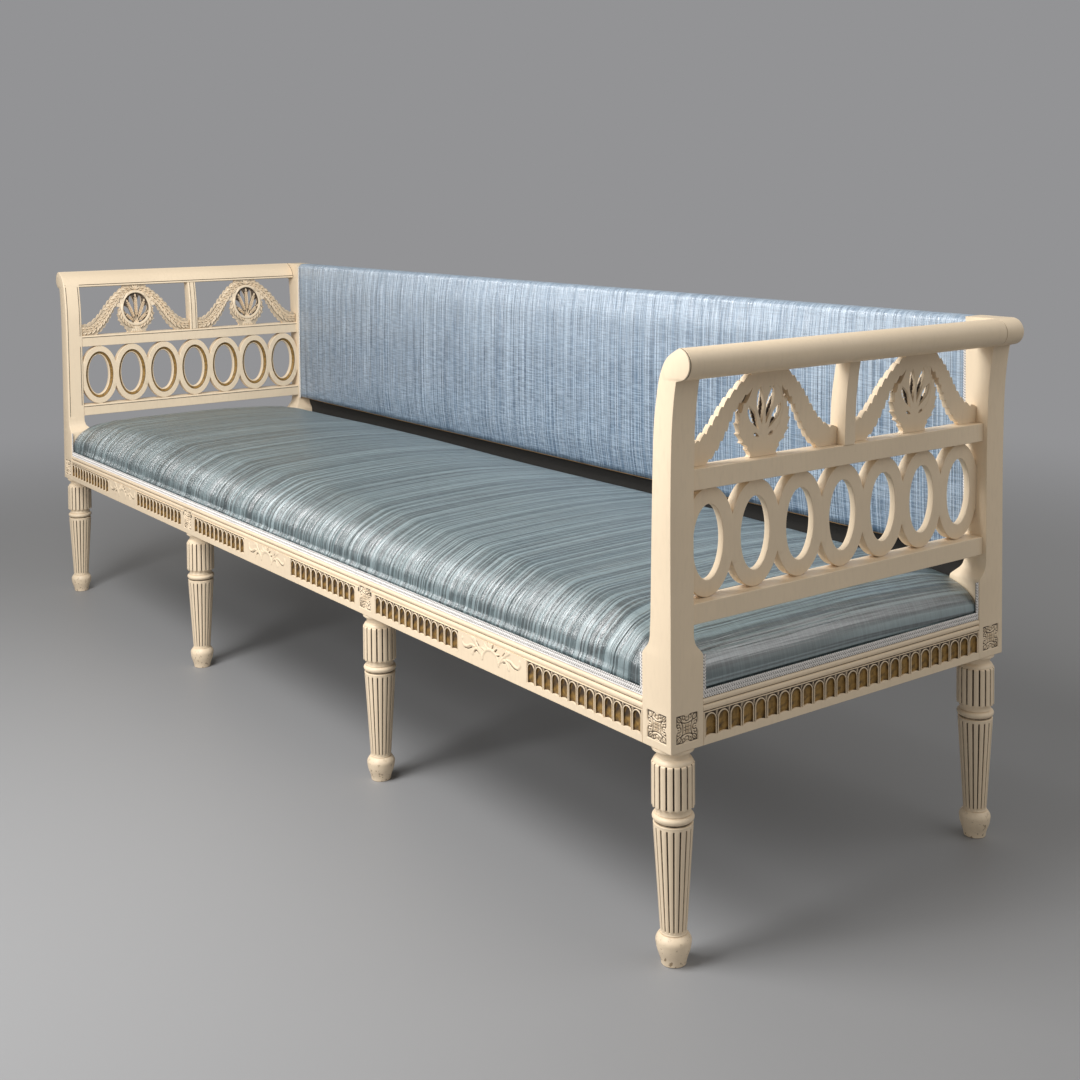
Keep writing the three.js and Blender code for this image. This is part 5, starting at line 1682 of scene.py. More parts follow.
def ring_leaves():
    places = []
    for step in range(RING_LEAVES):
        angle = math.radians(100 + step * RING_LEAF_STEP)
        x = RING_CENTRE[0] + (RING_AXES[0] + 0.0042) * math.cos(angle)
        y = RING_CENTRE[1] + (RING_AXES[1] + 0.0032) * math.sin(angle)
        places.append(((x, y, 0.0), (0, -0.10, angle + math.radians(66)), (0.78, 0.86, 0.9)))
    return places


def crown_leaves(height):
    """A fan of leaves over the ring, and two that cross it."""
    fan = [(90, 0.7), (62, 0.8), (118, 0.8), (30, 0.95), (150, 0.95)]
    leaves = [((0, height - 0.0125, 0.001), (0, -0.1, math.radians(turn)), (share, 0.7, 0.9))
              for turn, share in fan]
    cross = [((side * 0.004, height - 0.009, 0.0), (0, -0.05, math.radians(90 - side * 82)),
              (1.5, 0.8, 0.8)) for side in (-1, 1)]
    return leaves + cross


def ear_places():
    """Grains and stems of five wheat ears that fan from the foot of the medallion."""
    grains, stems = [], []
    for size, fan_turn, side in [(size, turn, side) for size, turn, sides in EARS for side in sides]:
        turn = math.radians(90 - side * fan_turn)
        way = np.array([math.cos(turn), math.sin(turn)])
        stems.append((EAR_ROOT, EAR_ROOT + way * size))
        count = int(size * 0.68 / GRAIN_GAP)
        for step in range(count):
            at = EAR_ROOT + way * (size * 0.30 + GRAIN_GAP * step)
            swell = 1 - 0.35 * abs(step / count - 0.4)
            grains += [((*at, 0.0010), (0, -0.16, turn + wing * GRAIN_TURN), (swell, swell, 1))
                       for wing in (-1, 1)]
        grains.append(((*(EAR_ROOT + way * (size * 0.96)), 0.0012), (0, -0.1, turn), (1, 1, 1)))
    return grains, stems


def reed_shell():
    """Reeds that flare down from the stem to the foot of the medallion."""
    shell = Shell()
    for step in range(-2, 3):
        line = [(step * 0.0068, 0.0006), (step * 0.0036, 0.013), (step * 0.0026, STEM_TOP)]
        shell.join(stroke_shell(smooth_line(line, 5), 0.0035, 0.0018, 0.0019))
    return shell


def stroke_shell(line, start_width, stop_width, height):
    """A rounded stroke along a flat line."""
    line = np.asarray(line)
    way = np.gradient(line, axis=0)
    way /= np.linalg.norm(way, axis=1)[:, None]
    aside = np.column_stack([-way[:, 1], way[:, 0]])
    widths = np.linspace(start_width, stop_width, len(line)) * 0.95
    rings = [[(*(point + out * width * side), height * up) for side, up, _ in STROKE_SECTION]
             for point, out, width in zip(line, aside, widths)]
    dirt = np.tile([soil for _, _, soil in STROKE_SECTION], len(line))
    return Shell().add(rings, grid_faces(len(line), len(STROKE_SECTION)), dirt)


def garland_shell():
    """One carved fret, flat: x along the arm, y up, z towards the sitter."""
    material = cream_paint()
    sizes = fret_size()
    front, rear = FRET_RECESS + CARVED_DEPTH, FRET_RECESS + FRET_THICKNESS
    outline = fret_outline()
    shell = board_shell(outline, [oval_loop(RING_WIDTH / 2 - EDGE)], front, rear, 0.4)
    holes = petal_holes()
    holes += [[(-x, z) for x, z in reversed(hole)] for hole in holes]
    ground = oval_loop(RING_WIDTH / 2 - EDGE * 2)
    shell.join(board_shell(ground, holes, front + EAR_SINK, rear - EDGE / 2, 0.75))
    carved = Shell()
    leaf = leaf_shell(carving().leaf_length, carving().leaf_width, LEAF_RISE, 0.62)
    left = swag_places() + ring_leaves()
    scatter(carved, leaf, material, left + mirrored_places(left) + crown_leaves(sizes[1]))
    grains, stems = ear_places()
    ears = Shell()
    scatter(ears, leaf_shell(carving().grain_length, 0.0050, 0.0042, 0.50), material, grains)
    for start, stop in stems:
        ears.join(stroke_shell(np.linspace(start, stop, 6), 0.0016, 0.0009, 0.0034))
    shell.join(ears.bend(lambda points: points - (0, 0, front + EAR_SINK)))
    carved.join(reed_shell())
    carved.join(oval_band(RING_CENTRE, RING_AXES, RING_WIDTH, RING_HEIGHT))

    def on_board(points):
        low, high = (-sizes[0] / 2, 0, -0.002), (sizes[0] / 2, sizes[1], CARVED_DEPTH)
        return np.clip(points, low, high) - (0, 0, front)

    loop = np.array(outline)
    for index, points in enumerate(carved.points):
        carved.points[index], drawn = kept_inside(points, loop)
        carved.patina[index] = np.where(drawn, 0.2, carved.patina[index])
    return shell.join(carved.bend(on_board))


def kept_inside(points, loop):
    """Points drawn inside a flat outline and lowered towards it, and which of them were drawn in."""
    outside = ~is_inside(points[:, :2], loop)
    gap = np.full(len(points), np.inf)
    nearest = points[:, :2].copy()
    for start, stop in zip(loop, np.roll(loop, -1, axis=0)):
        run = stop - start
        share = np.clip(((points[:, :2] - start) @ run) / max(run @ run, 1e-12), 0, 1)
        foot = start + share[:, None] * run
        reach = np.linalg.norm(points[:, :2] - foot, axis=1)
        nearest = np.where((reach < gap)[:, None], foot, nearest)
        gap = np.minimum(gap, reach)
    inset = np.where(outside, -gap, gap)
    inwards = (points[:, :2] - nearest) / np.maximum(inset, 1e-9)[:, None]
    inwards[outside] = (nearest - points[:, :2])[outside] / np.maximum(gap[outside], 1e-9)[:, None]
    pulled = points.copy()
    near = inset < LEAF_MARGIN
    pulled[near, :2] = (nearest + inwards * LEAF_MARGIN)[near]
    lowered = 0.2 + 0.8 * ramp(inset, LEAF_MARGIN / 2, LEAF_SLOPE)
    pulled[:, 2] *= np.where(pulled[:, 2] > 0, lowered, 1)
    return pulled, near


def to_arm_matrix(centre_y):
    """Turns a flat fret upright on the right arm; its lean is added afterwards."""
    return Matrix([(0, 0, -1, 0), (1, 0, 0, centre_y), (0, 1, 0, FRET_LOW.z), (0, 0, 0, 1)])


def lean_on_arm(points):
    points[:, 0] += inner_at(points[:, 2])
    return points


# Pads, silk and braid.
SEAT_ROLL = 0.082
SEAT_ROLL_RISE = 0.056
SEAT_CROWN = 0.017
SEAT_SIDE = 0.022
SEAT_STEP = 0.013
SEAT_GAP = 0.0012
SEAT_REAR_ROLL = 0.13
SEAT_REAR_DROP = 0.009
SEAT_WAVE = 0.0022


ROLL_INSETS = [0, 0.0010, 0.0040, 0.009, 0.016, 0.025, 0.036, 0.049]
ROLL_END = 0.062
STATION_GAP = 0.003


def edge_stations(half, corner, step):
    """Stations from one edge to the other, close together on the roll and with one at each notch."""
    edge = [-half + inset for inset in ROLL_INSETS]
    notch = -half + corner
    if min(abs(notch - at) for at in edge) > STATION_GAP:
        edge = sorted([*edge, notch])
    edge = [at for at in edge if abs(at - notch) > STATION_GAP + 0.0001 or at == notch]
    inner = np.linspace(-half + ROLL_END, half - ROLL_END, int((half - ROLL_END) * 2 / step) + 1)
    inner = inner[np.abs(inner - notch) > STATION_GAP]
    return np.array([*edge, *inner, *[-at for at in reversed(edge)]])


def seat_top(x, y, half_x, half_y):
    def roll(inset, size):
        share = np.clip(inset / size, 0, 1)
        return np.sqrt(np.clip(1 - (1 - share) ** 2, 0, 1))

    rolled = roll(half_x - np.abs(x), SEAT_ROLL) * roll(half_y + y, SEAT_ROLL)
    rolled = rolled * roll(half_y - y, SEAT_REAR_ROLL)
    crown = (1 - (x / half_x) ** 2) * (1 - (y / half_y) ** 2)
    rear = ramp(y, 0, half_y)
    sag = SEAT_REAR_DROP * rear + SEAT_WAVE * rear * np.sin(x * 6.1 + 1.0) * rolled
    return SEAT_LOW.z + SEAT_SIDE + SEAT_ROLL_RISE * rolled + SEAT_CROWN * crown - sag


def padded_shell(xs, ys, top, base, notch, side_rows, draw_in):
    """A closed pad over a rectangle with its corners notched, as one grid of cloth and a flat base."""
    grid_x, grid_y = np.meshgrid(xs, ys)
    high = top(grid_x, grid_y)
    inside = ~((np.abs(grid_x) > notch[0] + MERGE) & (np.abs(grid_y) > notch[1] + MERGE))
    index = -np.ones(inside.size, int)
    index[inside.ravel()] = np.arange(inside.sum())
    points = np.column_stack([grid_x[inside], grid_y[inside], high[inside]])
    grid = grid_faces(len(ys), len(xs), closed=False, capped=False)
    cells = [tuple(index[list(face)]) for face in grid if index[list(face)].min() >= 0]
    sides = sides_of(cells)
    following = dict(side for side in sides if side[::-1] not in sides)
    loop = [next(iter(following))]
    while following[loop[-1]] != loop[0]:
        loop.append(following[loop[-1]])
    rim = points[loop]
    outward = np.column_stack([np.where(np.abs(rim[:, 0]) > xs[-1] - MERGE, np.sign(rim[:, 0]), 0),
                               np.where(np.abs(rim[:, 1]) > ys[-1] - MERGE, np.sign(rim[:, 1]), 0)])
    every, places, rings, start = [points], [points], [loop], len(points)
    for level in range(1, side_rows + 1):
        share = level / side_rows
        ring, place = rim.copy(), rim.copy()
        ring[:, 2] += (base - rim[:, 2]) * share
        ring[:, :2] -= outward * draw_in * share ** 2
        place[:, :2] += outward * (rim[:, 2] - ring[:, 2])[:, None]
        every.append(ring)
        places.append(place)
        rings.append(range(start, start + len(loop)))
        start += len(loop)
    ahead = [*range(1, len(loop)), 0]
    walls = [(upper[after], upper[at], lower[at], lower[after])
             for upper, lower in zip(rings, rings[1:]) for at, after in enumerate(ahead)]
    bottom = dict(zip(loop, rings[-1]))
    hidden = [corner for corner in range(len(points)) if corner not in bottom]
    bottom.update({corner: start + at for at, corner in enumerate(hidden)})
    floor = np.column_stack([points[hidden, :2], np.full(len(hidden), base)])
    floor_faces = [tuple(bottom[corner] for corner in reversed(face)) for face in cells]
    return np.vstack([*every, floor]), [*cells, *walls, *floor_faces], np.vstack([*places, floor])


# How the cloth of a pad answers to its stuffing.
CLOTH_SETTINGS = {"quality": 6, "mass": 0.3, "tension_stiffness": 20, "compression_stiffness": 20,
                  "bending_stiffness": 0.8, "use_pressure": True, "vertex_group_mass": "held"}
PUFF_FRAMES = 20


def puff(piece, pinned, pressure, most):
    """Lets stuffing push the cloth out by simulation, and keeps each point within a cap."""
    group = piece.vertex_groups.new(name="held")
    group.add([int(index) for index in np.flatnonzero(pinned)], 1.0, "REPLACE")
    modifier = piece.modifiers.new("Cloth", "CLOTH")
    for name, value in CLOTH_SETTINGS.items():
        setattr(modifier.settings, name, value)
    modifier.settings.uniform_pressure_force = pressure
    modifier.settings.effector_weights.gravity = 0
    modifier.collision_settings.use_collision = False
    scene = bpy.context.scene
    for at in range(1, PUFF_FRAMES + 1):
        scene.frame_set(at)
    graph = bpy.context.evaluated_depsgraph_get()
    moved_mesh = bpy.data.meshes.new_from_object(piece.evaluated_get(graph))
    after = read(moved_mesh.vertices, "co", 3)
    before = read(piece.data.vertices, "co", 3)
    step = after - before
    size = np.linalg.norm(step, axis=1)[:, None]
    step *= np.minimum(1, most / np.maximum(size, 1e-9))
    piece.modifiers.clear()
    piece.vertex_groups.clear()
    piece.data.vertices.foreach_set("co", (before + step).ravel())
    scene.frame_set(1)
    bpy.data.meshes.remove(moved_mesh)
    return piece


def soften(piece):
    modifier = piece.modifiers.new("Smooth", "SUBSURF")
    modifier.levels = modifier.render_levels = 1


def soft_object(name, points, faces, place, material):
    shell = Shell().add(points, faces, cloth=place)
    return shell.build(name, material, smooth_below=math.pi)


def silk_for_seat():
    return finish_named("Seat silk", streaked_silk, "Seat silk", tuple(cloth().seat),
                        linear(134, 156, 160), linear(28, 46, 52), 0.92, 0.33, 0.45, 0.0)


def silk_for_back():
    # The last number sets the strength of the painted sheen near the top of the back.
    return finish_named("Back silk", streaked_silk, "Back silk", tuple(cloth().back),
                        linear(188, 208, 226), linear(48, 80, 112), 0.975, 0.36, 0.9, 0.35)


BRAID_ROW = 0.0054
STITCH_PITCH = 0.0040
STITCH_LENGTH = 0.0050
STITCH_WIDTH = 0.0024
STITCH_TURN = 0.60
TAPE_THICKNESS = 0.0008
GIMP_SETBACK = 0.001
GIMP_THICKNESS = 0.002


def stitch_shell():
    """One plump stitch along x."""
    rings = []
    for share in (0, 0.25, 0.5, 0.75, 1):
        round_share = math.sin(math.pi * (0.12 + 0.76 * share))
        rings.append([(STITCH_LENGTH * (share - 0.5), STITCH_WIDTH / 2 * round_share * math.cos(a),
                       STITCH_WIDTH / 2 * round_share * math.sin(a))
                      for a in np.linspace(0, math.tau, 6)[:-1]])
    return Shell().add(rings, grid_faces(5, 5))


def braid_strip(shell, start, stop, rows, out):
    """Rows of stitches in chevrons between two points of a side's (along, up) plane."""
    start, stop = np.array(start, float), np.array(stop, float)
    run = stop - start
    size = np.linalg.norm(run)
    way = run / size
    aside = np.array([-way[1], way[0]])
    turn = math.atan2(way[1], way[0])
    count = int(size / STITCH_PITCH)
    pitch = (*(way * size / count), 0)
    stitch = stitch_shell()
    for line in range(rows * 2):
        offset = (line - rows + 0.5) * BRAID_ROW / 2
        lean = STITCH_TURN if line % 2 else -STITCH_TURN
        at = start + aside * offset + way * size / count / 2
        row(shell, stitch, braid_material(), count, (*at, out), pitch, (0, 0, turn + lean))


def braid_material():
    return finish_named("Lilac braid", braid_yarn)


def tape_shell(left, low, right, top):
    """A flat tape behind stitches, between two places along a side and two heights; it is marked to be
    drawn dark as the shade between the stitches.
    """
    corners = [(left, low), (right, low), (right, top), (left, top)]
    rings = [[(x, y, level) for x, y in corners] for level in (0, TAPE_THICKNESS)]
    return Shell().add(rings, grid_faces(2, 4), 0.95)


# Steps of the add-on, each with the sizes that it alone uses.
class SofaOperator(bpy.types.Operator):
    """Shared base of the sofa's steps."""
    bl_idname = "sofa.step"
    bl_label = "Sofa step"
    bl_options = {"REGISTER", "UNDO"}

    def execute(self, context):
        self.make()
        return {"FINISHED"}

    def make(self):
        raise NotImplementedError("each step makes its own pieces")


class SOFA_OT_stage(SofaOperator):
    """Lay the floor, hang the lamps and set the camera"""
    bl_idname = "sofa.stage"
    bl_label = "Set the studio"

    def make(self):
        set_floor()
        set_lamps()
        set_world()
        set_camera()


FLOOR_SIZE = 60.0
FLOOR_FADE = (1.2, 3.8)
CAMERA_PLACE = (2.5303, -1.5546, 1.0058)
CAMERA_YAW = 53.581
CAMERA_PITCH = 2.33
CAMERA_ROLL = -0.424
CAMERA_SHIFT = -0.2685
KEY_PLACE = (0.62, -2.30, 1.50)
KEY_SIZE = (0.9, 0.9)
FILL_PLACE = (2.6, 1.2, 2.6)
FILL_SIZE = (2.5, 2.5)
TOP_PLACE = (0.50, -1.35, 2.25)
TOP_SIZE = (1.3, 0.9)
LAMP_TARGET = (0, 0, 0.4)


def set_floor():
    half = FLOOR_SIZE / 2
    mesh = bpy.data.meshes.new("floor")
    corners = [(-half, -half, 0), (half, -half, 0), (half, half, 0), (-half, half, 0)]
    mesh.from_pydata(corners, [], [(0, 1, 2, 3)])
    floor = bpy.data.objects.new("floor", mesh)
    bpy.context.scene.collection.objects.link(floor)
    mesh.materials.append(floor_finish())


def floor_finish():
    finish = Finish("Studio floor")
    finish.set(Base_Color=(*studio().floor, 1.0), Roughness=0.55)
    distance = finish.node("ShaderNodeVectorMath", {"operation": "LENGTH"},
                           {0: finish.place()}, output=1)
    far = distance.over(*FLOOR_FADE) * finish.node("ShaderNodeLightPath")
    glow = finish.node("ShaderNodeEmission", None, {"Color": (*studio().backdrop, 1.0)})
    lit = Value(finish, finish.shader.outputs[0])
    mixed = finish.node("ShaderNodeMixShader", None, {0: far, 1: lit, 2: glow})
    finish.feed(finish.tree.nodes["Material Output"].inputs["Surface"], mixed)
    return finish.material


def set_lamps():
    for name, place, size, power in (("key", KEY_PLACE, KEY_SIZE, studio().key_power),
                                     ("fill", FILL_PLACE, FILL_SIZE, studio().fill_power),
                                     ("top", TOP_PLACE, TOP_SIZE, studio().top_power)):
        light = bpy.data.lights.new(name, "AREA")
        light.shape = "RECTANGLE"
        light.size, light.size_y = size
        light.energy = power
        lamp = bpy.data.objects.new(name, light)
        lamp.location = place
        lamp.visible_camera = False
        lamp.rotation_mode = "QUATERNION"
        lamp.rotation_quaternion = (Vector(LAMP_TARGET) - Vector(place)).to_track_quat("-Z", "Y")
        bpy.context.scene.collection.objects.link(lamp)


def set_world():
    """Even light from all sides; the camera sees the backdrop instead."""
    world = bpy.data.worlds.new("Studio")
    world.use_nodes = True
    bpy.context.scene.world = world
    tree = world.node_tree
    sky = tree.nodes["Background"]
    sky.inputs["Strength"].default_value = studio().sky
    sky.inputs["Color"].default_value = (1.0, 0.98, 0.95, 1.0)
    path = wire(tree, "ShaderNodeLightPath")
    seen = wire(tree, "ShaderNodeBackground", None, {"Color": (*studio().backdrop, 1.0)})
    mixed = wire(tree, "ShaderNodeMixShader", None,
                 {0: path.outputs["Is Camera Ray"], 1: sky.outputs[0], 2: seen.outputs[0]})
    tree.links.new(mixed.outputs[0], tree.nodes["World Output"].inputs["Surface"])


def set_camera():
    data = bpy.data.cameras.new("camera")
    data.lens = studio().lens
    data.shift_y = CAMERA_SHIFT
    data.clip_end = FLOOR_SIZE * 2
    camera = bpy.data.objects.new("camera", data)
    yaw, pitch, roll = (math.radians(turn) for turn in (CAMERA_YAW, CAMERA_PITCH, CAMERA_ROLL))
    level = math.cos(pitch)
    ahead = Vector((-math.sin(yaw) * level, math.cos(yaw) * level, -math.sin(pitch)))
    right = Vector((math.cos(yaw), math.sin(yaw), 0))
    up = right.cross(ahead)
    tilted = right * math.cos(roll) + up * math.sin(roll)
    raised = up * math.cos(roll) - right * math.sin(roll)
    turn = Matrix([(tilted[i], raised[i], -ahead[i]) for i in range(3)])
    camera.matrix_world = Matrix.Translation(CAMERA_PLACE) @ turn.to_4x4()
    bpy.context.scene.collection.objects.link(camera)
    bpy.context.scene.camera = camera
    bpy.context.scene.view_settings.view_transform = "Standard"


class SOFA_OT_legs(SofaOperator):
    """Turn and flute the eight legs"""
    bl_idname = "sofa.legs"
    bl_label = "Turn the legs"

    def make(self):
        shell = leg_shell()
        columns = {"left": -LEG_X, "mid_left": -MID_LEG_X, "mid_right": MID_LEG_X, "right": LEG_X}
        for line, y in (("front", -LEG_Y), ("back", LEG_Y)):
            for column, x in columns.items():
                place_painted(shell, Matrix.Translation((x, y, 0)), f"{line}_{column}_leg", "turned")


class SOFA_OT_posts(SofaOperator):
    """Shape the four corner posts and carve the rosettes of their blocks"""
    bl_idname = "sofa.posts"
    bl_label = "Shape the posts"

    def make(self):
        material = cream_paint()
        rosette = rosette_shell()
        for name, front in (("front", True), ("back", False)):
            sides = ["right", "front"] if front else ["right"]
            body = post_shell(front)
            for side in sides:
                body = self.cut_face(body, side, front, material)
            for side in sides:
                body.join(rosette, self.face_matrix(side, front) @ moved(0, ROSETTE_RISE))
            place_hands({name + "_{}_post": body}, "shaped")

    def face_matrix(self, side, front):
        """Frame of a block's face, centred on the block."""
        matrix = side_matrix(*SIDES[side], RAIL_BASE)
        along = LEG_X if side == "front" else (-LEG_Y if front else LEG_Y)
        return matrix @ Matrix.Translation((along, 0, 0))

    def cut_face(self, body, side, front, material):
        matrix = self.face_matrix(side, front)
        flat = Shell().join(body, matrix.inverted())
        cut = cut_pockets(flat, [pocket(0, ROSETTE_RISE, ROSETTE, ROSETTE)], material)
        return Shell().join(cut, matrix)


class SOFA_OT_seat_rails(SofaOperator):
    """Run the beads and carve the arcades of the seat rails"""
    bl_idname = "sofa.seat_rails"
    bl_label = "Carve the seat rails"

    def make(self):
        bay = LEG_X - MID_LEG_X
        run = (HALF_DEPTH - BLOCK - RUN_MARGIN) * 2
        front = carved_rail(RAIL_HALF, front_runs(), [0, -bay, bay], [-MID_LEG_X, MID_LEG_X])
        end = carved_rail(HALF_DEPTH - BLOCK - JOINT, [(0, run, SIDE_ARCHES)], [], [])
        for side, shell in (("front", front), ("right", end), ("left", end),
                            ("back", rail_shell(RAIL_HALF, False))):
            place_painted(shell, side_matrix(*SIDES[side], RAIL_BASE), f"{side}_seat_rail", "carved")


class SOFA_OT_arms(SofaOperator):
    """Shape the rails, crests and stiles of both arms"""
    bl_idname = "sofa.arms"
    bl_label = "Shape the arms"

    def make(self):
        half = ARM_SPAN - JOINT
        place_hands({
            "{}_crest_rail": bar_shell(crest_section(), CREST_FRONT, half, 0.05),
            "{}_mid_rail": bar_shell(arm_bar(MID_LOW.z, MID_HIGH.z), half, half),
            "{}_lower_rail": bar_shell(arm_bar(LOWER_LOW.z, LOWER_HIGH.z), half, half),
            "{}_arm_stile": stile_shell(),
        }, "shaped")


class SOFA_OT_galleries(SofaOperator):
    """Pierce the galleries of ovals"""
    bl_idname = "sofa.galleries"
    bl_label = "Pierce the galleries"

    def make(self):
        place_hands({"{}_oval_gallery": gallery_shell()}, "pierced")


class SOFA_OT_garlands(SofaOperator):
    """Carve the four garland frets"""
    bl_idname = "sofa.garlands"
    bl_label = "Carve the garlands"

    def make(self):
        flat = garland_shell()
        centre = (FRET_HIGH.y + FRET_LOW.y) / 2
        for end, y in (("front", -centre), ("back", centre)):
            upright = Shell().join(flat, to_arm_matrix(y)).bend(lean_on_arm)
            place_hands({"{}_" + end + "_garland": upright}, "carved")


class SOFA_OT_seat(SofaOperator):
    """Stuff the seat and let the stuffing push its silk out"""
    bl_idname = "sofa.seat"
    bl_label = "Stuff the seat"

    def make(self):
        half_x, half_y = SEAT_HIGH.x - 0.001, SEAT_HIGH.y - 0.001
        corner = BLOCK - (HALF_DEPTH - half_y) + SEAT_GAP
        xs = edge_stations(half_x, corner, SEAT_STEP)
        ys = edge_stations(half_y, corner, SEAT_STEP)
        notch = (half_x - corner, half_y - corner)
        points, faces, place = padded_shell(
            xs, ys, lambda x, y: seat_top(x, y, half_x, half_y), SEAT_LOW.z, notch, 6, 0.003)
        pad = soft_object("seat_cushion", points, faces, place, silk_for_seat())
        now = read(pad.data.vertices, "co", 3)
        held = (now[:, 2] < SEAT_LOW.z + 0.012) | self.beside_post(now, notch)
        puff(pad, held, 4.0, cloth().seat_puff)
        soften(pad)
        dress(pad, "seat_cloth", "seat_pad")

    def beside_post(self, points, notch):
        near = 0.004
        return (np.abs(points[:, 0]) > notch[0] - near) & (np.abs(points[:, 1]) > notch[1] - near)


BACK_CROWN = 0.006
BACK_ROLL = 0.013
BACK_WRAP = 0.016
BACK_THIN = 0.0024
BACK_LIFT = 0.003
BACK_FULLEST = 0.42
FRONT_EDGE = HALF_DEPTH - UPRIGHT_DEPTH + 0.005


class SOFA_OT_back(SofaOperator):
    """Pad the back and cover its rear"""
    bl_idname = "sofa.back"
    bl_label = "Pad the back"

    def make(self):
        self.make_pad()
        self.make_cover()

    def section(self, share):
        """(y, z) round the pad at a share of its half length."""
        low, top, rear = BACK_LOW.z + BACK_LIFT, BACK_HIGH.z, BACK_HIGH.y
        bulge = BACK_CROWN * (1 - share ** 4)
        front = []
        for up in np.linspace(0, 1, 30):
            if up < BACK_FULLEST:
                hollow = abs(up / BACK_FULLEST - 1) ** 2.6
            else:
                hollow = ((up - BACK_FULLEST) / (1 - BACK_FULLEST)) ** 2.2
            front.append((FRONT_EDGE - bulge * (1 - hollow), low + (top - BACK_ROLL - low) * up))
        roll = [(FRONT_EDGE + BACK_ROLL * (1 - math.cos(a)), top - BACK_ROLL * (1 - math.sin(a)))
                for a in np.linspace(0, math.pi / 2, 7)[1:]]
        over = [(y, top) for y in np.linspace(FRONT_EDGE + BACK_ROLL, rear - 0.001, 4)[1:]]
        down = [(rear, top - 0.001), (rear, top - BACK_WRAP), (rear - 0.0015, top - BACK_WRAP),
                (rear - 0.0018, top - 0.010)]
        inside = [(FRONT_EDGE + BACK_ROLL, top - 0.010), (FRONT_EDGE + BACK_THIN, top - 0.030),
                  (FRONT_EDGE + BACK_THIN, low)]
        return np.array([*front, *roll, *over, *down, *inside])

    def make_pad(self):
        half = BACK_HIGH.x
        shares = np.sin(np.linspace(-math.pi / 2, math.pi / 2, 121))
        rings, places = [], []
        for share in shares:
            section = self.section(share)
            along = np.concatenate([[0], np.cumsum(np.linalg.norm(np.diff(section, axis=0), axis=1))])
            x = np.full(len(section), half * share)
            rings.append(np.column_stack([x, section]))
            places.append(np.column_stack([x, along, np.zeros(len(section))]))
        rings = np.array(rings)
        faces = grid_faces(len(rings), rings.shape[1])
        pad = soft_object("back_cushion", rings, faces, np.array(places), silk_for_back())
        now = read(pad.data.vertices, "co", 3)
        free = (now[:, 1] < FRONT_EDGE + 0.0012) & (np.abs(now[:, 0]) < half - 0.01)
        free &= (now[:, 2] > BACK_LOW.z + 0.012) & (now[:, 2] < BACK_HIGH.z - BACK_ROLL - 0.004)
        puff(pad, ~free, 2.5, cloth().back_puff)
        dress(pad, "back_cloth", "back_pad")

    def make_cover(self):
        low, high = COVER_LOW, COVER_HIGH
        cover = sheet_object("back_lining", low, high, "y", silk_for_back())
        dress(cover, "back_cloth", "back_outer_cover")


def sheet_object(name, low, high, thin, material, keep=None, step=0.03):
    """A thin closed sheet that fills a node's box; keep says which of its cells stay."""
    first, second, third = {"y": (0, 2, 1), "z": (0, 1, 2)}[thin]
    across, along = (np.linspace(low[axis], high[axis], int((high[axis] - low[axis]) / step) + 2)
                     for axis in (first, second))
    u, v = (grid.ravel() for grid in np.meshgrid(across, along))
    points = np.zeros((u.size * 2, 3))
    points[:, first], points[:, second] = np.tile(u, 2), np.tile(v, 2)
    points[:, third] = np.repeat([low[third], high[third]], u.size)
    cells = [face for face in grid_faces(len(along), len(across), closed=False, capped=False)
             if keep is None or keep(points[list(face)].mean(0))]
    sides = sides_of(cells)
    faces = [*cells, *[tuple(u.size + corner for corner in reversed(face)) for face in cells]]
    faces += [(stop, start, u.size + start, u.size + stop) for start, stop in sides
              if (stop, start) not in sides]
    used = sorted({corner for face in faces for corner in face})
    renumber = {old: new for new, old in enumerate(used)}
    faces = [tuple(renumber[corner] for corner in face) for face in faces]
    place = np.column_stack([points[:, first], points[:, second], np.zeros(len(points))])
    return Shell().add(points[used], faces, cloth=place[used]).build(name, material)


# Place of a dark linen strip that paints the shadow seen through the gap between the seat and the back.
SHADOW_STRIP_DEPTH = 0.0012
SHADOW_STRIP_LOW = 0.385
WEB_WIDTH = 0.050
WEB_MARGIN = 0.034
LONG_WEBS = 3
CROSS_WEBS = 6
WEB_THICKNESS = 0.0009
WEB_WAVE = 0.0005
JUTE_PITCH = 0.0011
LINEN_PITCH = 0.0007


def web_middles(clear, count):
    """Middles of webs that lie evenly over a clear half width."""
    end = clear - WEB_MARGIN - WEB_WIDTH / 2
    return np.linspace(-end, end, count)


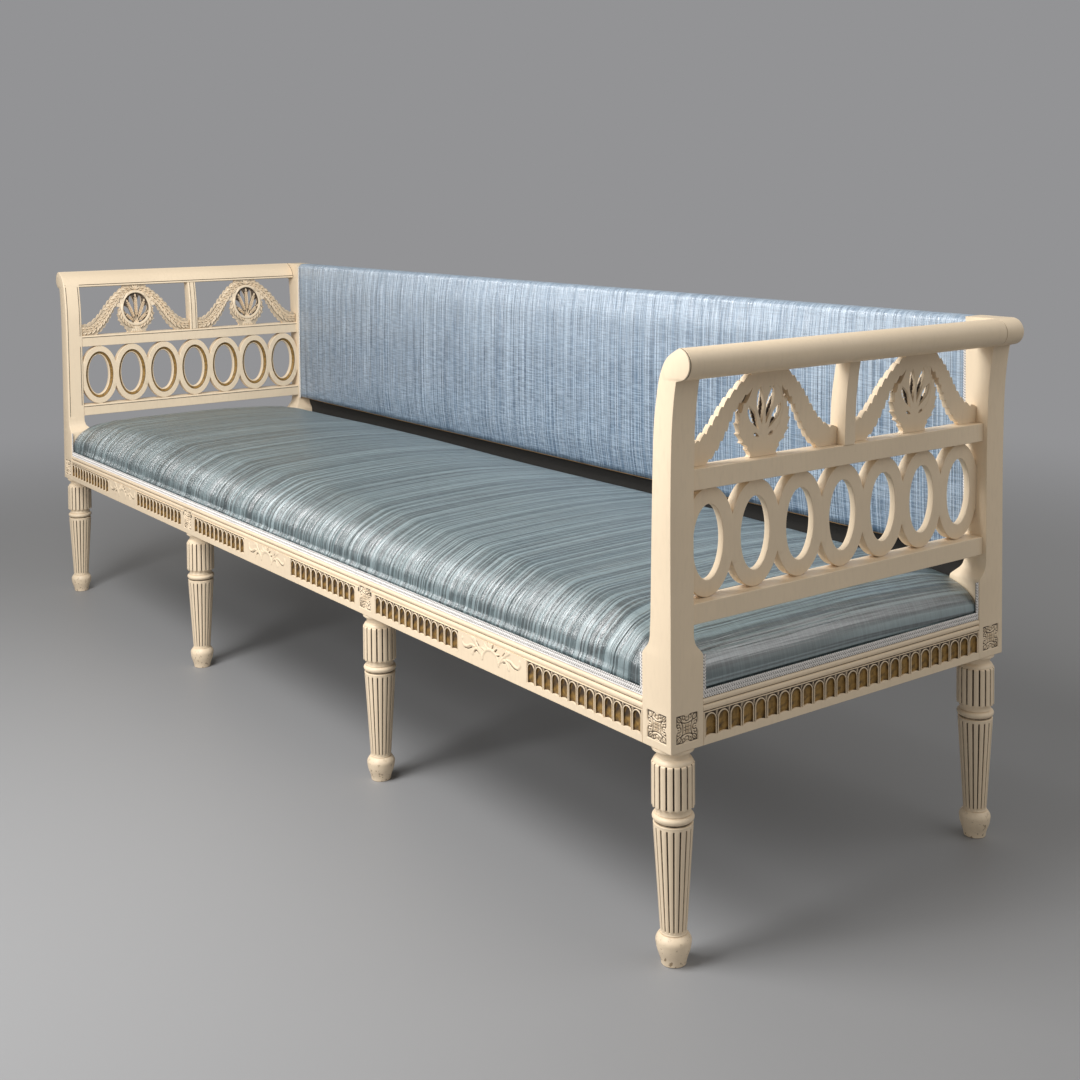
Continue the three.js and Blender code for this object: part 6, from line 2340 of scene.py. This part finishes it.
class SOFA_OT_linings(SofaOperator):
    """Weave the webbing, lay the hessian and the linen under the seat, and hang a dark strip that paints
    the shadow behind it
    """
    bl_idname = "sofa.linings"
    bl_label = "Web and line the seat"

    def make(self):
        jute = finish_named("Jute", coarse_cloth, "Jute", tuple(cloth().jute), JUTE_PITCH)
        linen = finish_named("Linen", coarse_cloth, "Linen", tuple(cloth().linen), LINEN_PITCH)
        self.make_webbing(jute)
        self.make_hessian(jute, "seat_burlap", "seat_hessian", HESSIAN_LOW, HESSIAN_HIGH, "z",
                          ["seat_webbing_woven"])
        self.make_hessian(jute, "back_burlap", "back_hessian", BACK_HESSIAN_LOW, BACK_HESSIAN_HIGH, "y",
                          ["back_top_rail", "back_bottom_rail"])
        self.make_lining(linen)
        self.make_gap_strip()

    def make_webbing(self, jute):
        """Strips that pass over and under each other."""
        shell = Shell()
        rows_y = web_middles(HALF_DEPTH - BLOCK, LONG_WEBS)
        rows_x = web_middles(HALF_LENGTH - BLOCK, CROSS_WEBS)
        middle = (WEB_LOW.z + WEB_HIGH.z) / 2
        for index, y in enumerate(rows_y):
            shell.join(self.strip(WEB_HIGH.x, rows_x, index, middle), Matrix.Translation((0, y, 0)))
        quarter = Matrix.Rotation(math.pi / 2, 4, "Z")
        for index, x in enumerate(rows_x):
            shell.join(self.strip(WEB_HIGH.y, rows_y, index + 1, middle),
                       Matrix.Translation((x, 0, 0)) @ quarter)
        dress(shell.build("seat_webbing_woven", jute), "jute", "seat_webbing")

    def strip(self, half, crossings, parity, level):
        stations = sorted({*np.linspace(-half, half, int(half / 0.02)),
                           *(at + side * WEB_WIDTH * 0.6 for at in crossings for side in (-1, 1))})
        rings, places = [], []
        for at in stations:
            lift = 0
            for index, crossing in enumerate(crossings):
                near = 1 - ramp(abs(at - crossing), WEB_WIDTH * 0.5, WEB_WIDTH)
                lift += (1 if (index + parity) % 2 else -1) * WEB_WAVE * near
            ring = [(at, side * WEB_WIDTH / 2, level + lift + up * WEB_THICKNESS / 2)
                    for side, up in ((-1, -1), (1, -1), (1, 1), (-1, 1))]
            rings.append(ring)
            places.append([(at, point[1], 0) for point in ring])
        return Shell().add(rings, grid_faces(len(rings), 4), cloth=places)

    def make_hessian(self, material, name, node, low, high, thin, rests_on):
        piece = sheet_object(name, low, high, thin, material)
        dress(piece, "jute", node)

    def make_gap_strip(self):
        """A strip of dark linen from the back's lower edge down behind the seat, put there only to paint
        the shadow seen through the gap between seat and back.
        """
        low = Vector((COVER_LOW.x, BACK_HIGH.y - SHADOW_STRIP_DEPTH * 2.2, SHADOW_STRIP_LOW))
        high = Vector((COVER_HIGH.x, BACK_HIGH.y - SHADOW_STRIP_DEPTH * 1.2, COVER_LOW.z + 0.004))
        # Painted shadow: the linen is darkened so that the gap under the back reads as shade.
        shadow = shade(tuple(cloth().linen), 0.45)
        material = finish_named("Dark linen", coarse_cloth, "Dark linen", shadow, LINEN_PITCH)
        strip = sheet_object("gap_strip", low, high, "y", material)
        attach(strip, "root")

    def make_lining(self, linen):
        keep_x, keep_y = HALF_LENGTH - BLOCK - 0.003, HALF_DEPTH - BLOCK - 0.003
        collar = COLLAR_RADIUS + 0.003

        def keep(centre):
            at_post = abs(centre[0]) > keep_x and abs(centre[1]) > keep_y
            at_leg = abs(abs(centre[0]) - MID_LEG_X) < collar and abs(centre[1]) > LEG_Y - collar
            return not (at_post or at_leg)

        piece = sheet_object("seat_lining", LINING_LOW, LINING_HIGH, "z", linen, keep, 0.009)
        dress(piece, "bottom_linen", "seat_bottom_cover")


class SOFA_OT_braid(SofaOperator):
    """Sew the two rows of braid round the seat and the narrow braid beside the back"""
    bl_idname = "sofa.braid"
    bl_label = "Sew the braid"

    def make(self):
        for side, (outwards, reach) in SIDES.items():
            half = (HALF_LENGTH if side in ("front", "back") else HALF_DEPTH) - BLOCK - JOINT
            matrix = side_matrix(outwards, reach - GIMP_SETBACK - GIMP_THICKNESS, GIMP_LOW.z)
            self.sew(self.seat_side(half), matrix, f"{side}_seat_gimp")
        for name, side in (("left", -1), ("right", 1)):
            self.back_side(name, side)

    def sew(self, shell, matrix, node):
        piece = Shell().join(shell, matrix).build(f"{node}_sewn", braid_material())
        dress(piece, "gimp", node)

    def seat_side(self, half):
        """Two rows along the rail and one row up beside each block."""
        shell = Shell()
        tall = GIMP_HIGH.z - GIMP_LOW.z
        wide = BRAID_ROW * 2
        shell.join(tape_shell(-half, 0, half, wide))
        braid_strip(shell, (-half, wide / 2), (half, wide / 2), 2, GIMP_THICKNESS / 2)
        for side in (-1, 1):
            outer, inner = half * side, (half - BRAID_ROW * 1.1) * side
            shell.join(tape_shell(outer, wide, inner, tall))
            middle = (half - BRAID_ROW / 2) * side
            braid_strip(shell, (middle, wide), (middle, tall), 1, GIMP_THICKNESS / 2)
        return shell

    def back_side(self, name, side):
        node = f"back_{name}_gimp"
        low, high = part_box(node)
        centre = ((high.x if side > 0 else -low.x) - BRAID_ROW / 2) * side
        tall = high.z - low.z
        shell = tape_shell(centre - BRAID_ROW / 2, 0, centre + BRAID_ROW / 2, tall)
        braid_strip(shell, (centre, 0), (centre, tall), 1, GIMP_THICKNESS / 2)
        self.sew(shell, side_matrix((0, -1, 0), -high.y, low.z), node)


class SOFA_OT_timber(SofaOperator):
    """Give the hidden frame its bare timber"""
    bl_idname = "sofa.timber"
    bl_label = "Finish the hidden frame"

    def make(self):
        material = finish_named("Bare timber", bare_timber)
        for name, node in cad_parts.items():
            if name.endswith(("_cross_rail", "_brace", "_muntin", "back_top_rail", "back_bottom_rail")):
                node.data.materials.clear()
                node.data.materials.append(material)


class SOFA_PT_panel(bpy.types.Panel):
    """Steps and settings of the sofa"""
    bl_idname = "SOFA_PT_panel"
    bl_label = "Painted sofa"
    bl_space_type = "VIEW_3D"
    bl_region_type = "UI"
    bl_category = "Sofa"

    def draw(self, context):
        column = self.layout.column()
        for step in STEPS:
            column.operator(step.bl_idname)
        for name in GROUPS:
            box = self.layout.box()
            group = getattr(context.scene, name)
            for prop in group.__annotations__:
                box.prop(group, prop)


GROUPS = {"sofa_paint": SofaPaint, "sofa_cloth": SofaCloth, "sofa_carving": SofaCarving,
          "sofa_studio": SofaStudio}
STEPS = (SOFA_OT_stage, SOFA_OT_timber, SOFA_OT_legs, SOFA_OT_posts, SOFA_OT_seat_rails, SOFA_OT_arms,
         SOFA_OT_galleries, SOFA_OT_garlands, SOFA_OT_linings, SOFA_OT_seat, SOFA_OT_back, SOFA_OT_braid)


def register():
    for group in GROUPS.values():
        bpy.utils.register_class(group)
    for name, group in GROUPS.items():
        setattr(bpy.types.Scene, name, PointerProperty(type=group))
    for step in STEPS:
        bpy.utils.register_class(step)
    bpy.utils.register_class(SOFA_PT_panel)


def unregister():
    bpy.utils.unregister_class(SOFA_PT_panel)
    for step in reversed(STEPS):
        bpy.utils.unregister_class(step)
    for name, group in GROUPS.items():
        delattr(bpy.types.Scene, name)
        bpy.utils.unregister_class(group)


def main():
    register()
    bpy.ops.sofa.stage()
    bpy.ops.sofa.timber()
    bpy.ops.sofa.legs()
    bpy.ops.sofa.posts()
    bpy.ops.sofa.seat_rails()
    bpy.ops.sofa.arms()
    bpy.ops.sofa.galleries()
    bpy.ops.sofa.garlands()
    bpy.ops.sofa.linings()
    bpy.ops.sofa.seat()
    bpy.ops.sofa.back()
    bpy.ops.sofa.braid()


if __name__ == "__main__":
    main()
